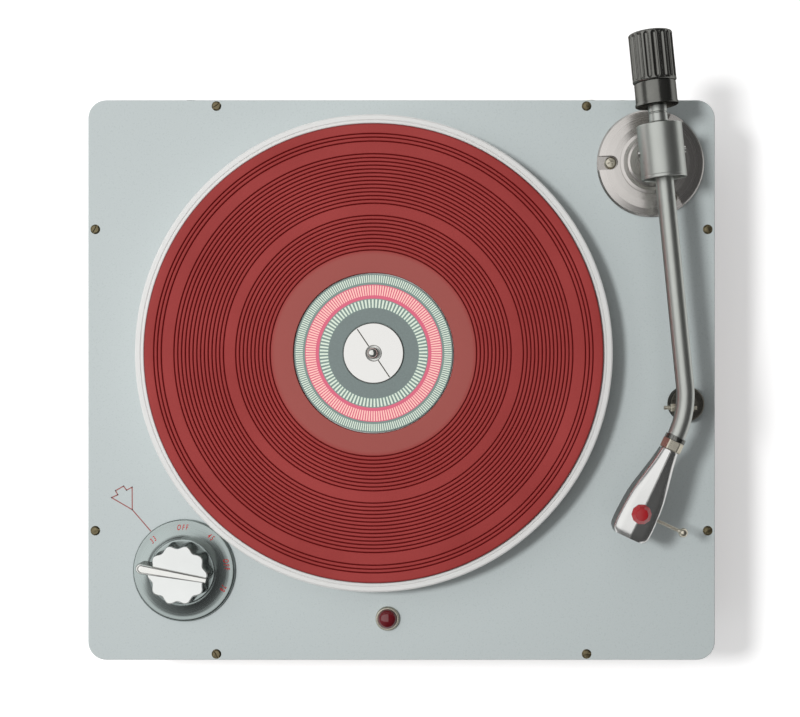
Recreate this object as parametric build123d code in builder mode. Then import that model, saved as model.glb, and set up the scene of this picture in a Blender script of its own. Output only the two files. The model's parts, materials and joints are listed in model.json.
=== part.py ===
from build123d import *
from math import cos, radians, sin
import os

# Twelve-inch idler-drive transcription turntable with a nine-inch pivoted arm.
# Millimetres; +X to the right, +Y to the rear, +Z up; z = 0 is the shelf under the feet.

# Levels
FOOT_H = 10.0
PANEL_TOP = 14.0
PLINTH_TOP = 100.0
DECK_TOP = 105.0
RIM_BOTTOM = 108.0
WEB_BOTTOM = 124.0
RIM_TOP = 131.0
MAT_TOP = 134.0
ARM_H = 155.0

# Deck and plinth, width by depth
DECK_SIZE = (412.0, 368.0)
DECK_CORNER = 12.0
PLINTH_SIZE = (410.0, 366.0)
PLINTH_INNER = (380.0, 336.0)
PANEL_SIZE = (391.0, 347.0)
WALL = (PLINTH_SIZE[0] - PLINTH_INNER[0]) / 2

# Platter and drive radii; the motor turns at 1800 rpm
PLATTER_R = 152.4
RIM_INNER = 140.0
IDLER_R = 25.0
TYRE_GAP = 0.3
PULLEY_33 = 2.593
PULLEY_45 = 3.5
PULLEY_78 = 6.087
RUNNING = 0.05

# Tone arm, seen from above; angles are taken from the front towards the right
LEAN = 5.7
HEAD_ANGLE = -25.2
BEND_R = 60.0
STRAIGHT = 145.3
TUBE_R = 5.65
TUBE_BORE = 4.65
COLLAR_L = 10.0
HOUSING_R = 14.0
HOUSING_BORE = 12.4
HOUSING_HALF = 16.75
STUB_R = 5.75
WEIGHT_R = 13.6
WEIGHT_NEAR = 28.3
WEIGHT_FAR = 73.8
ARM_BASE_AT = (163.5, 142.2)

# The counterweight overhangs the rear edge, so the deck sits forward of the middle
REAR_REACH = (
    ARM_BASE_AT[1] + WEIGHT_FAR * cos(radians(LEAN)) + WEIGHT_R * sin(radians(LEAN))
)
DECK_Y = (DECK_SIZE[1] / 2 - REAR_REACH) / 2


def upright(x, y):
    """Vertical axis at a place measured from the deck's centre."""
    return Plane((x, DECK_Y + y, 0))


def beside(frame, distance, angle):
    """Vertical axis at a distance and an angle from another one."""
    step = Vector(distance * cos(radians(angle)), distance * sin(radians(angle)), 0)
    return Plane(frame.origin + step)


def heading(angle):
    """Level direction, measured from the front towards the right."""
    return Vector(sin(radians(angle)), -cos(radians(angle)), 0)


def ring_of(radius, *angles):
    """Points at a radius from an axis."""
    return [(radius * cos(radians(a)), radius * sin(radians(a))) for a in angles]


def column(frame, bottom, top, radius, points=((0, 0),), mode=Mode.ADD):
    """Round columns along the frame's z axis."""
    with BuildSketch(frame.offset(bottom)) as outline:
        with Locations(*points):
            Circle(radius)
    extrude(outline.sketch, amount=top - bottom, mode=mode)


def slab(frame, size, bottom, top, corner=0.0, points=((0, 0),), mode=Mode.ADD):
    """Plates with sharp or rounded corners, square to the frame."""
    with BuildSketch(frame.offset(bottom)) as outline:
        with Locations(*points):
            if corner:
                RectangleRounded(*size, corner)
            else:
                Rectangle(*size)
    extrude(outline.sketch, amount=top - bottom, mode=mode)


def hexagon(frame, bottom, top, radius, points=((0, 0),)):
    """Hexagon nuts along the frame's z axis."""
    with BuildSketch(frame.offset(bottom)) as outline:
        with Locations(*points):
            RegularPolygon(radius, 6)
    extrude(outline.sketch, amount=top - bottom)


def turn(frame, profile, mode=Mode.ADD):
    """Body of revolution round the frame's z axis, from (radius, height) points."""
    side = Plane(frame.origin, x_dir=frame.x_dir, z_dir=-frame.y_dir)
    with BuildSketch(side) as outline:
        Polygon(*profile, align=None)
    revolve(outline.sketch, axis=Axis(frame.origin, frame.z_dir), mode=mode)


def slot(frame, size, top, depth, angle):
    """Screwdriver slot cut down from a head."""
    with BuildSketch(frame.offset(top).rotated((0, 0, angle))) as outline:
        Rectangle(*size)
    extrude(outline.sketch, amount=-depth, mode=Mode.SUBTRACT)


def link(start, end, width, bottom, top):
    """Flat bar with round ends between two vertical axes."""
    middle = (start.origin + end.origin) / 2
    with BuildSketch(Plane.XY.offset(bottom)) as outline:
        SlotCenterPoint((middle.X, middle.Y), (end.origin.X, end.origin.Y), width)
    extrude(outline.sketch, amount=top - bottom)


os.makedirs("parts", exist_ok=True)

DECK = upright(0, 0)
PLATTER = upright(-16.4, 17.5)
SELECTOR = upright(-142.5, -124.8)
LAMP = upright(-9.1, -156.5)
ARM_BASE = upright(*ARM_BASE_AT)
REST = upright(186, -15.5)
IDLER = beside(PLATTER, RIM_INNER - IDLER_R, -165)
MOTOR = beside(IDLER, IDLER_R + PULLEY_33, -60)
CARRIAGE = beside(IDLER, 45, 156.4)
CAM_LOW = 14.0
CAM_RISE = 6.9
SELECTOR_TRAVEL = 160
FOLLOWER_R = 3.0
FOLLOWER = beside(SELECTOR, CAM_LOW + FOLLOWER_R + TYRE_GAP, 0)

FOOT_PLACES = [(170, 148), (-170, 148), (-170, -148), (170, -148)]
SCREW_PLACES = [
    (-121.6, 180, 35),
    (121.6, 180, 80),
    (-201.2, 99, 62),
    (-201.2, -99, 15),
    (201.2, 99, 100),
    (201.2, -99, 50),
    (-121.6, -180, 120),
    (121.6, -180, 10),
]
DECK_SCREW = [
    (0, 78),
    (1.6, 80),
    (1.6, DECK_TOP - 2.4),
    (3.15, DECK_TOP - 0.7),
    (3.15, DECK_TOP + 0.1),
    (2.2, DECK_TOP + 0.8),
    (0, DECK_TOP + 1.0),
]
BEARING_SCREWS = ring_of(24, 0, 120, 240)
BEARING_SCREW = [
    (0, 94),
    (1.6, 94),
    (1.6, DECK_TOP - 2),
    (3.4, DECK_TOP - 0.4),
    (3.4, DECK_TOP),
    (0, DECK_TOP),
]
MOTOR_HANGERS = ring_of(50, 10, 110, 265)
ARM_SCREWS = ring_of(26.5, 60, 180, 300)
ARM_SCREW_SEAT = DECK_TOP + 1.5
REAR_FACE = DECK_Y + PLINTH_SIZE[1] / 2
GLAND = Plane((-150, REAR_FACE, 42), x_dir=(-1, 0, 0), z_dir=(0, 1, 0))
SOCKETS = Plane((150, REAR_FACE, 60), x_dir=(-1, 0, 0), z_dir=(0, 1, 0))
SOCKET_PLACES = [(-22, 0), (0, 0)]
GROUND_PLACE = [(22, 0)]

# ---------------------------------------------------------------- plinth and deck

with BuildPart() as plinth:
    slab(DECK, PLINTH_SIZE, FOOT_H, PLINTH_TOP, corner=DECK_CORNER - 1)
    slab(DECK, PLINTH_INNER, FOOT_H, PLINTH_TOP, corner=3, mode=Mode.SUBTRACT)
    slab(DECK, PANEL_SIZE, FOOT_H, PANEL_TOP, corner=3, mode=Mode.SUBTRACT)
    for x, y, _ in SCREW_PLACES:
        turn(upright(x, y), DECK_SCREW, mode=Mode.SUBTRACT)
    column(GLAND, -WALL, 1, 6, mode=Mode.SUBTRACT)
    column(SOCKETS, -WALL, 1, 4.5, points=SOCKET_PLACES, mode=Mode.SUBTRACT)
    column(SOCKETS, -WALL, 1, 2, points=GROUND_PLACE, mode=Mode.SUBTRACT)
plinth.part.label = "plinth"
export_step(plinth.part, "parts/plinth.step")

with BuildPart() as bottom_panel:
    slab(DECK, PANEL_SIZE, FOOT_H, PANEL_TOP, corner=3)
    vents = [(x, y) for x in (-140, -110, -80) for y in (-70, -56, -42, -28, -14, 0)]
    slab(DECK, (22, 5), FOOT_H, PANEL_TOP, corner=2, points=vents, mode=Mode.SUBTRACT)
    column(DECK, FOOT_H, PANEL_TOP, 2, points=FOOT_PLACES, mode=Mode.SUBTRACT)
bottom_panel.part.label = "bottom_panel"
export_step(bottom_panel.part, "parts/bottom_panel.step")

with BuildPart() as feet:
    for x, y in FOOT_PLACES:
        foot = [(2, 6), (5, 6), (5, 0), (12, 0), (13, 1), (15, 10), (2, 10)]
        turn(upright(x, y), foot)
feet.part.label = "feet"
export_step(feet.part, "parts/feet.step")

with BuildPart() as foot_screws:
    for x, y in FOOT_PLACES:
        turn(upright(x, y), [(0, 3.2), (3, 3.4), (4, 4.4), (4, 6), (2, 6), (2, 13), (0, 14)])
foot_screws.part.label = "foot_screws"
export_step(foot_screws.part, "parts/foot_screws.step")

with BuildPart() as deck_plate:
    slab(DECK, DECK_SIZE, PLINTH_TOP, DECK_TOP, corner=DECK_CORNER)
    chamfer(deck_plate.faces().sort_by(Axis.Z)[-1].edges(), length=0.6)
    for x, y, _ in SCREW_PLACES:
        turn(upright(x, y), DECK_SCREW, mode=Mode.SUBTRACT)
    column(PLATTER, PLINTH_TOP, DECK_TOP, 14, mode=Mode.SUBTRACT)
    for x, y in BEARING_SCREWS:
        bearing_screw_axis = Plane(PLATTER.origin + Vector(x, y, 0))
        turn(bearing_screw_axis, BEARING_SCREW, mode=Mode.SUBTRACT)
    column(IDLER, PLINTH_TOP, DECK_TOP, 10, mode=Mode.SUBTRACT)
    column(MOTOR, PLINTH_TOP, DECK_TOP, 10, mode=Mode.SUBTRACT)
    column(MOTOR, PLINTH_TOP, DECK_TOP, 2, points=MOTOR_HANGERS, mode=Mode.SUBTRACT)
    column(CARRIAGE, PLINTH_TOP, DECK_TOP - 2, 3, mode=Mode.SUBTRACT)
    column(SELECTOR, PLINTH_TOP, DECK_TOP, 5, mode=Mode.SUBTRACT)
    column(LAMP, PLINTH_TOP, DECK_TOP, 7, mode=Mode.SUBTRACT)
    column(ARM_BASE, PLINTH_TOP, DECK_TOP, 8.5, mode=Mode.SUBTRACT)
    column(ARM_BASE, PLINTH_TOP, DECK_TOP, 2, points=ARM_SCREWS, mode=Mode.SUBTRACT)
    column(REST, PLINTH_TOP, DECK_TOP, 3, mode=Mode.SUBTRACT)
deck_plate.part.label = "deck_plate"
export_step(deck_plate.part, "parts/deck_plate.step")

with BuildPart() as deck_screws:
    for x, y, angle in SCREW_PLACES:
        turn(upright(x, y), DECK_SCREW)
        slot(upright(x, y), (7, 1.0), DECK_TOP + 1.0, 1.0, angle)
deck_screws.part.label = "deck_screws"
export_step(deck_screws.part, "parts/deck_screws.step")

# ---------------------------------------------------------------- platter bearing

SPINDLE_R = 5.95
PIN_R = 3.6
PIN_ROOT_R = 4.3
HUB_TOP = MAT_TOP + 0.6
BEARING_FOOT = 46.0
BALL_R = 3.0

with BuildPart() as bearing_housing:
    column(PLATTER, BEARING_FOOT, PLINTH_TOP, 10)
    column(PLATTER, PLINTH_TOP - 5, PLINTH_TOP, 30)
    column(PLATTER, PLINTH_TOP, DECK_TOP + 4, 14)
    shaft_bore = SPINDLE_R + RUNNING
    column(PLATTER, BEARING_FOOT + 4, DECK_TOP + 4, shaft_bore, mode=Mode.SUBTRACT)
    for x, y in BEARING_SCREWS:
        bearing_screw_axis = Plane(PLATTER.origin + Vector(x, y, 0))
        turn(bearing_screw_axis, BEARING_SCREW, mode=Mode.SUBTRACT)
bearing_housing.part.label = "bearing_housing"
export_step(bearing_housing.part, "parts/bearing_housing.step")

with BuildPart() as bearing_screws:
    for x, y in BEARING_SCREWS:
        bearing_screw_axis = Plane(PLATTER.origin + Vector(x, y, 0))
        turn(bearing_screw_axis, BEARING_SCREW)
        slot(bearing_screw_axis, (8, 1.0), DECK_TOP, 1.0, 90)
bearing_screws.part.label = "bearing_screws"
export_step(bearing_screws.part, "parts/bearing_screws.step")

with BuildPart() as thrust_ball:
    with Locations(PLATTER.origin + Vector(0, 0, BEARING_FOOT + 4 + BALL_R)):
        Sphere(BALL_R)
thrust_ball.part.label = "thrust_ball"
export_step(thrust_ball.part, "parts/thrust_ball.step")

# ---------------------------------------------------------------- platter

HUB_R = 19.05
HUB_FLOOR = 122.0
DISC_R = 50.4
DISC_SEAT = MAT_TOP - 0.8
MAT_R = 146.4
GROOVE_HALF = 0.62
GROOVE_DEPTH = 0.8
GROOVE_RADII = (
    [65.6 + 2.433 * i for i in range(10)]
    + [95.3 + 2.417 * i for i in range(14)]
    + [134.8, 137.3, 139.6]
)

with BuildPart() as platter:
    turn(
        PLATTER,
        [
            (SPINDLE_R, 112),
            (27, 112),
            (27, WEB_BOTTOM),
            (RIM_INNER, WEB_BOTTOM),
            (RIM_INNER, RIM_BOTTOM),
            (PLATTER_R, RIM_BOTTOM),
            (PLATTER_R, RIM_TOP - 1.6),
            (PLATTER_R - 0.5, RIM_TOP - 0.5),
            (PLATTER_R - 1.6, RIM_TOP),
            (DISC_R, RIM_TOP),
            (DISC_R, DISC_SEAT),
            (HUB_R + TYRE_GAP, DISC_SEAT),
            (HUB_R + TYRE_GAP, HUB_FLOOR),
            (SPINDLE_R, HUB_FLOOR),
        ],
    )
platter.part.label = "platter"
export_step(platter.part, "parts/platter.step")

with BuildPart() as platter_mat:
    grooved = []
    for radius in GROOVE_RADII:
        grooved += [
            (radius - GROOVE_HALF, MAT_TOP),
            (radius, MAT_TOP - GROOVE_DEPTH),
            (radius + GROOVE_HALF, MAT_TOP),
        ]
    edge = [(MAT_R - 0.6, MAT_TOP), (MAT_R, MAT_TOP - 0.6), (MAT_R, RIM_TOP)]
    inner = [(DISC_R + 0.1, RIM_TOP), (DISC_R + 0.1, MAT_TOP - 0.3), (DISC_R + 0.4, MAT_TOP)]
    turn(PLATTER, inner + grooved + edge)
platter_mat.part.label = "platter_mat"
export_step(platter_mat.part, "parts/platter_mat.step")

with BuildPart() as strobe_disc:
    column(PLATTER, DISC_SEAT, MAT_TOP + 0.1, DISC_R - 0.1)
    disc_bore = HUB_R + TYRE_GAP
    column(PLATTER, DISC_SEAT, MAT_TOP + 0.1, disc_bore, mode=Mode.SUBTRACT)
strobe_disc.part.label = "strobe_disc"
export_step(strobe_disc.part, "parts/strobe_disc.step")

with BuildPart() as spindle:
    turn(
        PLATTER,
        [
            (0, 56.1),
            (SPINDLE_R - 1, 56.1),
            (SPINDLE_R, 57.1),
            (SPINDLE_R, HUB_FLOOR),
            (PIN_ROOT_R, HUB_FLOOR),
            (PIN_ROOT_R, HUB_TOP),
            (PIN_R, HUB_TOP),
            (PIN_R, 143),
            (3.2, 144.4),
            (2.3, 145.5),
            (1.1, 146),
            (0, 146),
        ],
    )
spindle.part.label = "spindle"
export_step(spindle.part, "parts/spindle.step")

with BuildPart() as hub_45:
    turn(
        PLATTER,
        [
            (PIN_ROOT_R + RUNNING, HUB_FLOOR + 0.3),
            (HUB_R, HUB_FLOOR + 0.3),
            (HUB_R, HUB_TOP - 0.5),
            (HUB_R - 0.5, HUB_TOP),
            (PIN_ROOT_R + 0.6, HUB_TOP),
            (PIN_ROOT_R + RUNNING, HUB_TOP - 0.6),
        ],
    )
    slot(PLATTER, (2 * HUB_R + 1, 0.5), HUB_TOP, 0.5, -56)
hub_45.part.label = "hub_45"
export_step(hub_45.part, "parts/hub_45.step")

# ---------------------------------------------------------------- motor

STACK = (48.0, 76.0)
MOTOR_R = 44.0
BORE_R = 22.0
HANGER_BOTTOM = 88.0

with BuildPart() as motor_plate:
    slab(MOTOR, (120, 116), HANGER_BOTTOM - 2, HANGER_BOTTOM, corner=14)
    column(MOTOR, HANGER_BOTTOM - 2, HANGER_BOTTOM, 12, mode=Mode.SUBTRACT)
    column(
        MOTOR,
        HANGER_BOTTOM - 2,
        HANGER_BOTTOM,
        2,
        points=MOTOR_HANGERS,
        mode=Mode.SUBTRACT,
    )
motor_plate.part.label = "motor_plate"
export_step(motor_plate.part, "parts/motor_plate.step")

with BuildPart() as motor_grommets:
    column(MOTOR, HANGER_BOTTOM, PLINTH_TOP, 6, points=MOTOR_HANGERS)
    column(MOTOR, HANGER_BOTTOM, PLINTH_TOP, 2, points=MOTOR_HANGERS, mode=Mode.SUBTRACT)
motor_grommets.part.label = "motor_grommets"
export_step(motor_grommets.part, "parts/motor_grommets.step")

with BuildPart() as motor_screws:
    column(MOTOR, HANGER_BOTTOM - 6, DECK_TOP, 2, points=MOTOR_HANGERS)
    column(MOTOR, DECK_TOP, DECK_TOP + 2, 3.6, points=MOTOR_HANGERS)
    hexagon(MOTOR, HANGER_BOTTOM - 5.2, HANGER_BOTTOM - 2, 4, points=MOTOR_HANGERS)
    for x, y in MOTOR_HANGERS:
        slot(Plane(MOTOR.origin + Vector(x, y, 0)), (8, 1), DECK_TOP + 2, 1, 20)
motor_screws.part.label = "motor_screws"
export_step(motor_screws.part, "parts/motor_screws.step")

with BuildPart() as motor_stator:
    column(MOTOR, *STACK, MOTOR_R)
    column(MOTOR, *STACK, BORE_R, mode=Mode.SUBTRACT)
motor_stator.part.label = "motor_stator"
export_step(motor_stator.part, "parts/motor_stator.step")

with BuildPart() as motor_coils:
    for bottom, top in ((42, STACK[0]), (STACK[1], 82)):
        column(MOTOR, bottom, top, 36)
        column(MOTOR, bottom, top, 25, mode=Mode.SUBTRACT)
motor_coils.part.label = "motor_coils"
export_step(motor_coils.part, "parts/motor_coils.step")

with BuildPart() as motor_bells:
    for closed, opening in ((38, STACK[0]), (86, STACK[1])):
        inward = 2 if opening > closed else -2
        turn(
            MOTOR,
            [
                (3, closed),
                (MOTOR_R - 5, closed),
                (MOTOR_R, closed + 2.5 * inward),
                (MOTOR_R, opening),
                (MOTOR_R - 4, opening),
                (MOTOR_R - 4, closed + inward),
                (3, closed + inward),
            ],
        )
motor_bells.part.label = "motor_bells"
export_step(motor_bells.part, "parts/motor_bells.step")

with BuildPart() as motor_rotor:
    column(MOTOR, 36, 112, 2)
    column(MOTOR, STACK[0] + 1, STACK[1] - 1, BORE_R - 0.5)
motor_rotor.part.label = "motor_rotor"
export_step(motor_rotor.part, "parts/motor_rotor.step")

with BuildPart() as motor_pulley:
    turn(
        MOTOR,
        [
            (2, 103),
            (PULLEY_78, 103),
            (PULLEY_78, 112),
            (PULLEY_45, 112),
            (PULLEY_45, 117),
            (PULLEY_33, 117),
            (PULLEY_33, 123),
            (0, 123),
            (0, 112),
            (2, 112),
        ],
    )
motor_pulley.part.label = "motor_pulley"
export_step(motor_pulley.part, "parts/motor_pulley.step")

# ---------------------------------------------------------------- idler and its carriage

IDLER_LOW, IDLER_HIGH = 118.2, 122.2
LEVER = (94.0, 96.5)
STUD_R = 2.0

with BuildPart() as carriage_lever:
    link(CARRIAGE, IDLER, 12, *LEVER)
    link(CARRIAGE, FOLLOWER, 12, *LEVER)
    column(CARRIAGE, LEVER[0] - 1.5, LEVER[1] + 2, 6.5)
    column(CARRIAGE, LEVER[0] - 3, LEVER[1] + 3, 3 + RUNNING, mode=Mode.SUBTRACT)
    column(IDLER, LEVER[0], IDLER_LOW - 0.5, 4.5)
    column(IDLER, IDLER_LOW - 0.5, IDLER_HIGH + 0.6, STUD_R)
    column(FOLLOWER, LEVER[0] - 5.5, LEVER[0], FOLLOWER_R)
carriage_lever.part.label = "carriage_lever"
export_step(carriage_lever.part, "parts/carriage_lever.step")

with BuildPart() as carriage_post:
    column(CARRIAGE, LEVER[0] - 2, DECK_TOP - 2, 3)
    column(CARRIAGE, LEVER[0] - 4.5, LEVER[0] - 2, 6.5)
    column(CARRIAGE, LEVER[1] + 2.5, PLINTH_TOP, 5)
carriage_post.part.label = "carriage_post"
export_step(carriage_post.part, "parts/carriage_post.step")

with BuildPart() as idler_wheel:
    column(IDLER, IDLER_LOW, IDLER_HIGH, 20.7)
    column(IDLER, IDLER_LOW, IDLER_HIGH, STUD_R + RUNNING, mode=Mode.SUBTRACT)
    windows = ring_of(13, 0, 72, 144, 216, 288)
    column(IDLER, IDLER_LOW, IDLER_HIGH, 4, points=windows, mode=Mode.SUBTRACT)
idler_wheel.part.label = "idler_wheel"
export_step(idler_wheel.part, "parts/idler_wheel.step")

with BuildPart() as idler_tyre:
    column(IDLER, IDLER_LOW, IDLER_HIGH, IDLER_R - TYRE_GAP)
    column(IDLER, IDLER_LOW, IDLER_HIGH, 20.7, mode=Mode.SUBTRACT)
idler_tyre.part.label = "idler_tyre"
export_step(idler_tyre.part, "parts/idler_tyre.step")

# ---------------------------------------------------------------- speed selector

SHAFT_R = 3.0
CAM = (89.0, 92.0)
CAM_STEPS = 16
KNOB_BOTTOM = 112.0
KNOB_TOP = 127.0
FLUTES = 10
FLUTE_WAVE = 1.1
BAR_TOP = 129.0
BAR_BOTTOM = 115.0
BAR_ANGLE = 170


def cam_radius(angle):
    """Spiral that rises over the selector's travel and falls back over the rest."""
    if angle <= SELECTOR_TRAVEL:
        return CAM_LOW + CAM_RISE * angle / SELECTOR_TRAVEL
    return CAM_LOW + CAM_RISE * (360 - angle) / (360 - SELECTOR_TRAVEL)


def fluted(base):
    """Scalloped outline of the selector knob."""
    outline = []
    for angle in range(0, 360, 6):
        radius = base - FLUTE_WAVE + FLUTE_WAVE * cos(radians(FLUTES * angle))
        outline += ring_of(radius, angle)
    return outline


def pointer_bar(bottom, top, mode=Mode.ADD):
    """Long grip bar laid across the knob, round at the pointing end."""
    with BuildSketch(SELECTOR.offset(bottom).rotated((0, 0, BAR_ANGLE))) as outline:
        Polygon((-18.7, -2), (24, -3.4), (24, 3.4), (-18.7, 2), align=None)
        with Locations((24, 0)):
            Circle(3.4)
    extrude(outline.sketch, amount=top - bottom, mode=mode)


with BuildPart() as selector_bushing:
    column(SELECTOR, LEVER[1] - 1, DECK_TOP + 0.4, 5)
    hexagon(SELECTOR, PLINTH_TOP - 3, PLINTH_TOP, 8.5)
    column(SELECTOR, 90, DECK_TOP + 1, SHAFT_R + RUNNING, mode=Mode.SUBTRACT)
selector_bushing.part.label = "selector_bushing"
export_step(selector_bushing.part, "parts/selector_bushing.step")

with BuildPart() as selector_shaft:
    column(SELECTOR, CAM[0] - 4, 124, SHAFT_R)
selector_shaft.part.label = "selector_shaft"
export_step(selector_shaft.part, "parts/selector_shaft.step")

with BuildPart() as selector_cam:
    with BuildSketch(SELECTOR.offset(CAM[0])):
        with BuildLine():
            steps = [i * 360 / (2 * CAM_STEPS) for i in range(2 * CAM_STEPS)]
            Spline(
                *[
                    (cam_radius(a) * cos(radians(a)), -cam_radius(a) * sin(radians(a)))
                    for a in steps
                ],
                periodic=True,
            )
        make_face()
    extrude(amount=CAM[1] - CAM[0])
    column(SELECTOR, CAM[0] - 4, CAM[0], 7)
    column(SELECTOR, CAM[0] - 4, CAM[1], SHAFT_R, mode=Mode.SUBTRACT)
selector_cam.part.label = "selector_cam"
export_step(selector_cam.part, "parts/selector_cam.step")

with BuildPart() as selector_dial:
    turn(
        SELECTOR,
        [
            (SHAFT_R, 106),
            (32, 106),
            (33.5, 106.4),
            (33.5, 107.2),
            (32.6, 107.8),
            (28, 108.3),
            (24, 109.5),
            (20.8, KNOB_BOTTOM),
            (SHAFT_R, KNOB_BOTTOM),
        ],
    )
selector_dial.part.label = "selector_dial"
export_step(selector_dial.part, "parts/selector_dial.step")

with BuildPart() as knob_body:
    for level, radius in ((KNOB_BOTTOM, 20.4), (KNOB_TOP, 19.2)):
        with BuildSketch(SELECTOR.offset(level)):
            with BuildLine():
                Spline(*fluted(radius), periodic=True)
            make_face()
    loft(ruled=True)
    column(SELECTOR, KNOB_BOTTOM, 124, SHAFT_R, mode=Mode.SUBTRACT)
    pointer_bar(BAR_BOTTOM, BAR_TOP + 1, mode=Mode.SUBTRACT)
knob_body.part.label = "knob_body"
export_step(knob_body.part, "parts/knob_body.step")

with BuildPart() as knob_pointer:
    pointer_bar(BAR_BOTTOM, BAR_TOP)
    chamfer(knob_pointer.faces().sort_by(Axis.Z)[-1].edges(), length=0.5)
    column(SELECTOR, BAR_BOTTOM, 124, SHAFT_R, mode=Mode.SUBTRACT)
knob_pointer.part.label = "knob_pointer"
export_step(knob_pointer.part, "parts/knob_pointer.step")

with BuildPart() as power_switch:
    slab(SELECTOR, (20, 12), 84, PLINTH_TOP, corner=1, points=[(-35, 0)])
    column(SELECTOR, 81, 84, 1.2, points=[(-41, 0), (-35, 0), (-29, 0)])
power_switch.part.label = "power_switch"
export_step(power_switch.part, "parts/power_switch.step")

# ---------------------------------------------------------------- pilot lamp

with BuildPart() as lamp_bezel:
    turn(
        LAMP,
        [
            (5, 90),
            (7, 90),
            (7, DECK_TOP),
            (7.8, DECK_TOP),
            (7.8, DECK_TOP + 2.2),
            (7.2, DECK_TOP + 3),
            (6.3, DECK_TOP + 3),
            (6.3, DECK_TOP - 1),
            (5, DECK_TOP - 1),
        ],
    )
lamp_bezel.part.label = "lamp_bezel"
export_step(lamp_bezel.part, "parts/lamp_bezel.step")

with BuildPart() as lamp_jewel:
    turn(
        LAMP,
        [
            (0, DECK_TOP - 1),
            (6.3, DECK_TOP - 1),
            (6.3, DECK_TOP + 3.4),
            (5.7, DECK_TOP + 4.9),
            (4.3, DECK_TOP + 6.2),
            (2.3, DECK_TOP + 6.9),
            (0, DECK_TOP + 7.1),
        ],
    )
lamp_jewel.part.label = "lamp_jewel"
export_step(lamp_jewel.part, "parts/lamp_jewel.step")

with BuildPart() as lamp_bulb:
    turn(LAMP, [(0, 78), (3.5, 78), (3.5, 90), (4.3, 93), (4.3, 99), (2.5, 102), (0, 103)])
lamp_bulb.part.label = "lamp_bulb"
export_step(lamp_bulb.part, "parts/lamp_bulb.step")

with BuildPart() as lamp_holder:
    column(LAMP, 74, 88, 6)
    column(LAMP, 78, 88, 3.5, mode=Mode.SUBTRACT)
    slab(LAMP, (14, 2), 80, PLINTH_TOP, points=[(0, -9)])
    slab(LAMP, (6, 4), 80, 86, points=[(0, -7.5)])
lamp_holder.part.label = "lamp_holder"
export_step(lamp_holder.part, "parts/lamp_holder.step")

# ---------------------------------------------------------------- arm base and rest

YAW_R = 4.0
PILLAR_R = 8.5
PILLAR_TOP = 136.5

with BuildPart() as arm_base:
    turn(
        ARM_BASE,
        [
            (PILLAR_R, DECK_TOP),
            (35.2, DECK_TOP),
            (35.2, DECK_TOP + 1.4),
            (34.1, DECK_TOP + 2.6),
            (30, DECK_TOP + 3.9),
            (25, DECK_TOP + 5),
            (20.5, DECK_TOP + 5.5),
            (20.5, DECK_TOP + 7),
            (18.5, DECK_TOP + 7.6),
            (16, DECK_TOP + 7.6),
            (16, DECK_TOP + 9.4),
            (14.6, DECK_TOP + 10.2),
            (PILLAR_R, DECK_TOP + 10.2),
        ],
    )
    for angle in (60, 180, 300):
        notch = ARM_BASE.rotated((0, 0, angle))
        column(notch, ARM_SCREW_SEAT, 115, 4.6, points=[(26.5, 0)], mode=Mode.SUBTRACT)
        slab(notch, (10, 9.2), ARM_SCREW_SEAT, 115, points=[(31.5, 0)], mode=Mode.SUBTRACT)
    column(ARM_BASE, DECK_TOP, ARM_SCREW_SEAT, 2, points=ARM_SCREWS, mode=Mode.SUBTRACT)
arm_base.part.label = "arm_base"
export_step(arm_base.part, "parts/arm_base.step")

with BuildPart() as arm_base_screws:
    for x, y in ARM_SCREWS:
        pan = Plane(ARM_BASE.origin + Vector(x, y, 0))
        turn(
            pan,
            [
                (0, 90),
                (2, 90),
                (2, ARM_SCREW_SEAT),
                (3.9, ARM_SCREW_SEAT),
                (3.9, ARM_SCREW_SEAT + 1.5),
                (3, ARM_SCREW_SEAT + 2.6),
                (0, ARM_SCREW_SEAT + 3),
            ],
        )
        slot(pan, (4.4, 0.9), ARM_SCREW_SEAT + 3, 1.6, 20)
        slot(pan, (4.4, 0.9), ARM_SCREW_SEAT + 3, 1.6, 110)
arm_base_screws.part.label = "arm_base_screws"
export_step(arm_base_screws.part, "parts/arm_base_screws.step")

with BuildPart() as arm_pillar:
    column(ARM_BASE, 88, PILLAR_TOP, PILLAR_R)
    hexagon(ARM_BASE, PLINTH_TOP - 5, PLINTH_TOP, 15)
    column(ARM_BASE, 92, PILLAR_TOP, YAW_R + RUNNING, mode=Mode.SUBTRACT)
arm_pillar.part.label = "arm_pillar"
export_step(arm_pillar.part, "parts/arm_pillar.step")

REST_PIN_R = 1.2
REST_PIN_H = ARM_H - TUBE_R - TYRE_GAP - REST_PIN_R
REST_PIN = Plane(
    (REST.origin.X - 9.7, REST.origin.Y - 1.1, REST_PIN_H), x_dir=(0, 1, 0), z_dir=(1, 0, 0)
)
REST_PIN_HALF = 10.2

CRADLE = Plane((177.4, REST_PIN.origin.Y, 0))
CRADLE_W = 14.4
CRADLE_L = 4.6
CRADLE_FLOOR = 145.2
CRADLE_TOP = ARM_H - TUBE_R - TYRE_GAP
CRADLE_WALL = 0.7

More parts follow.
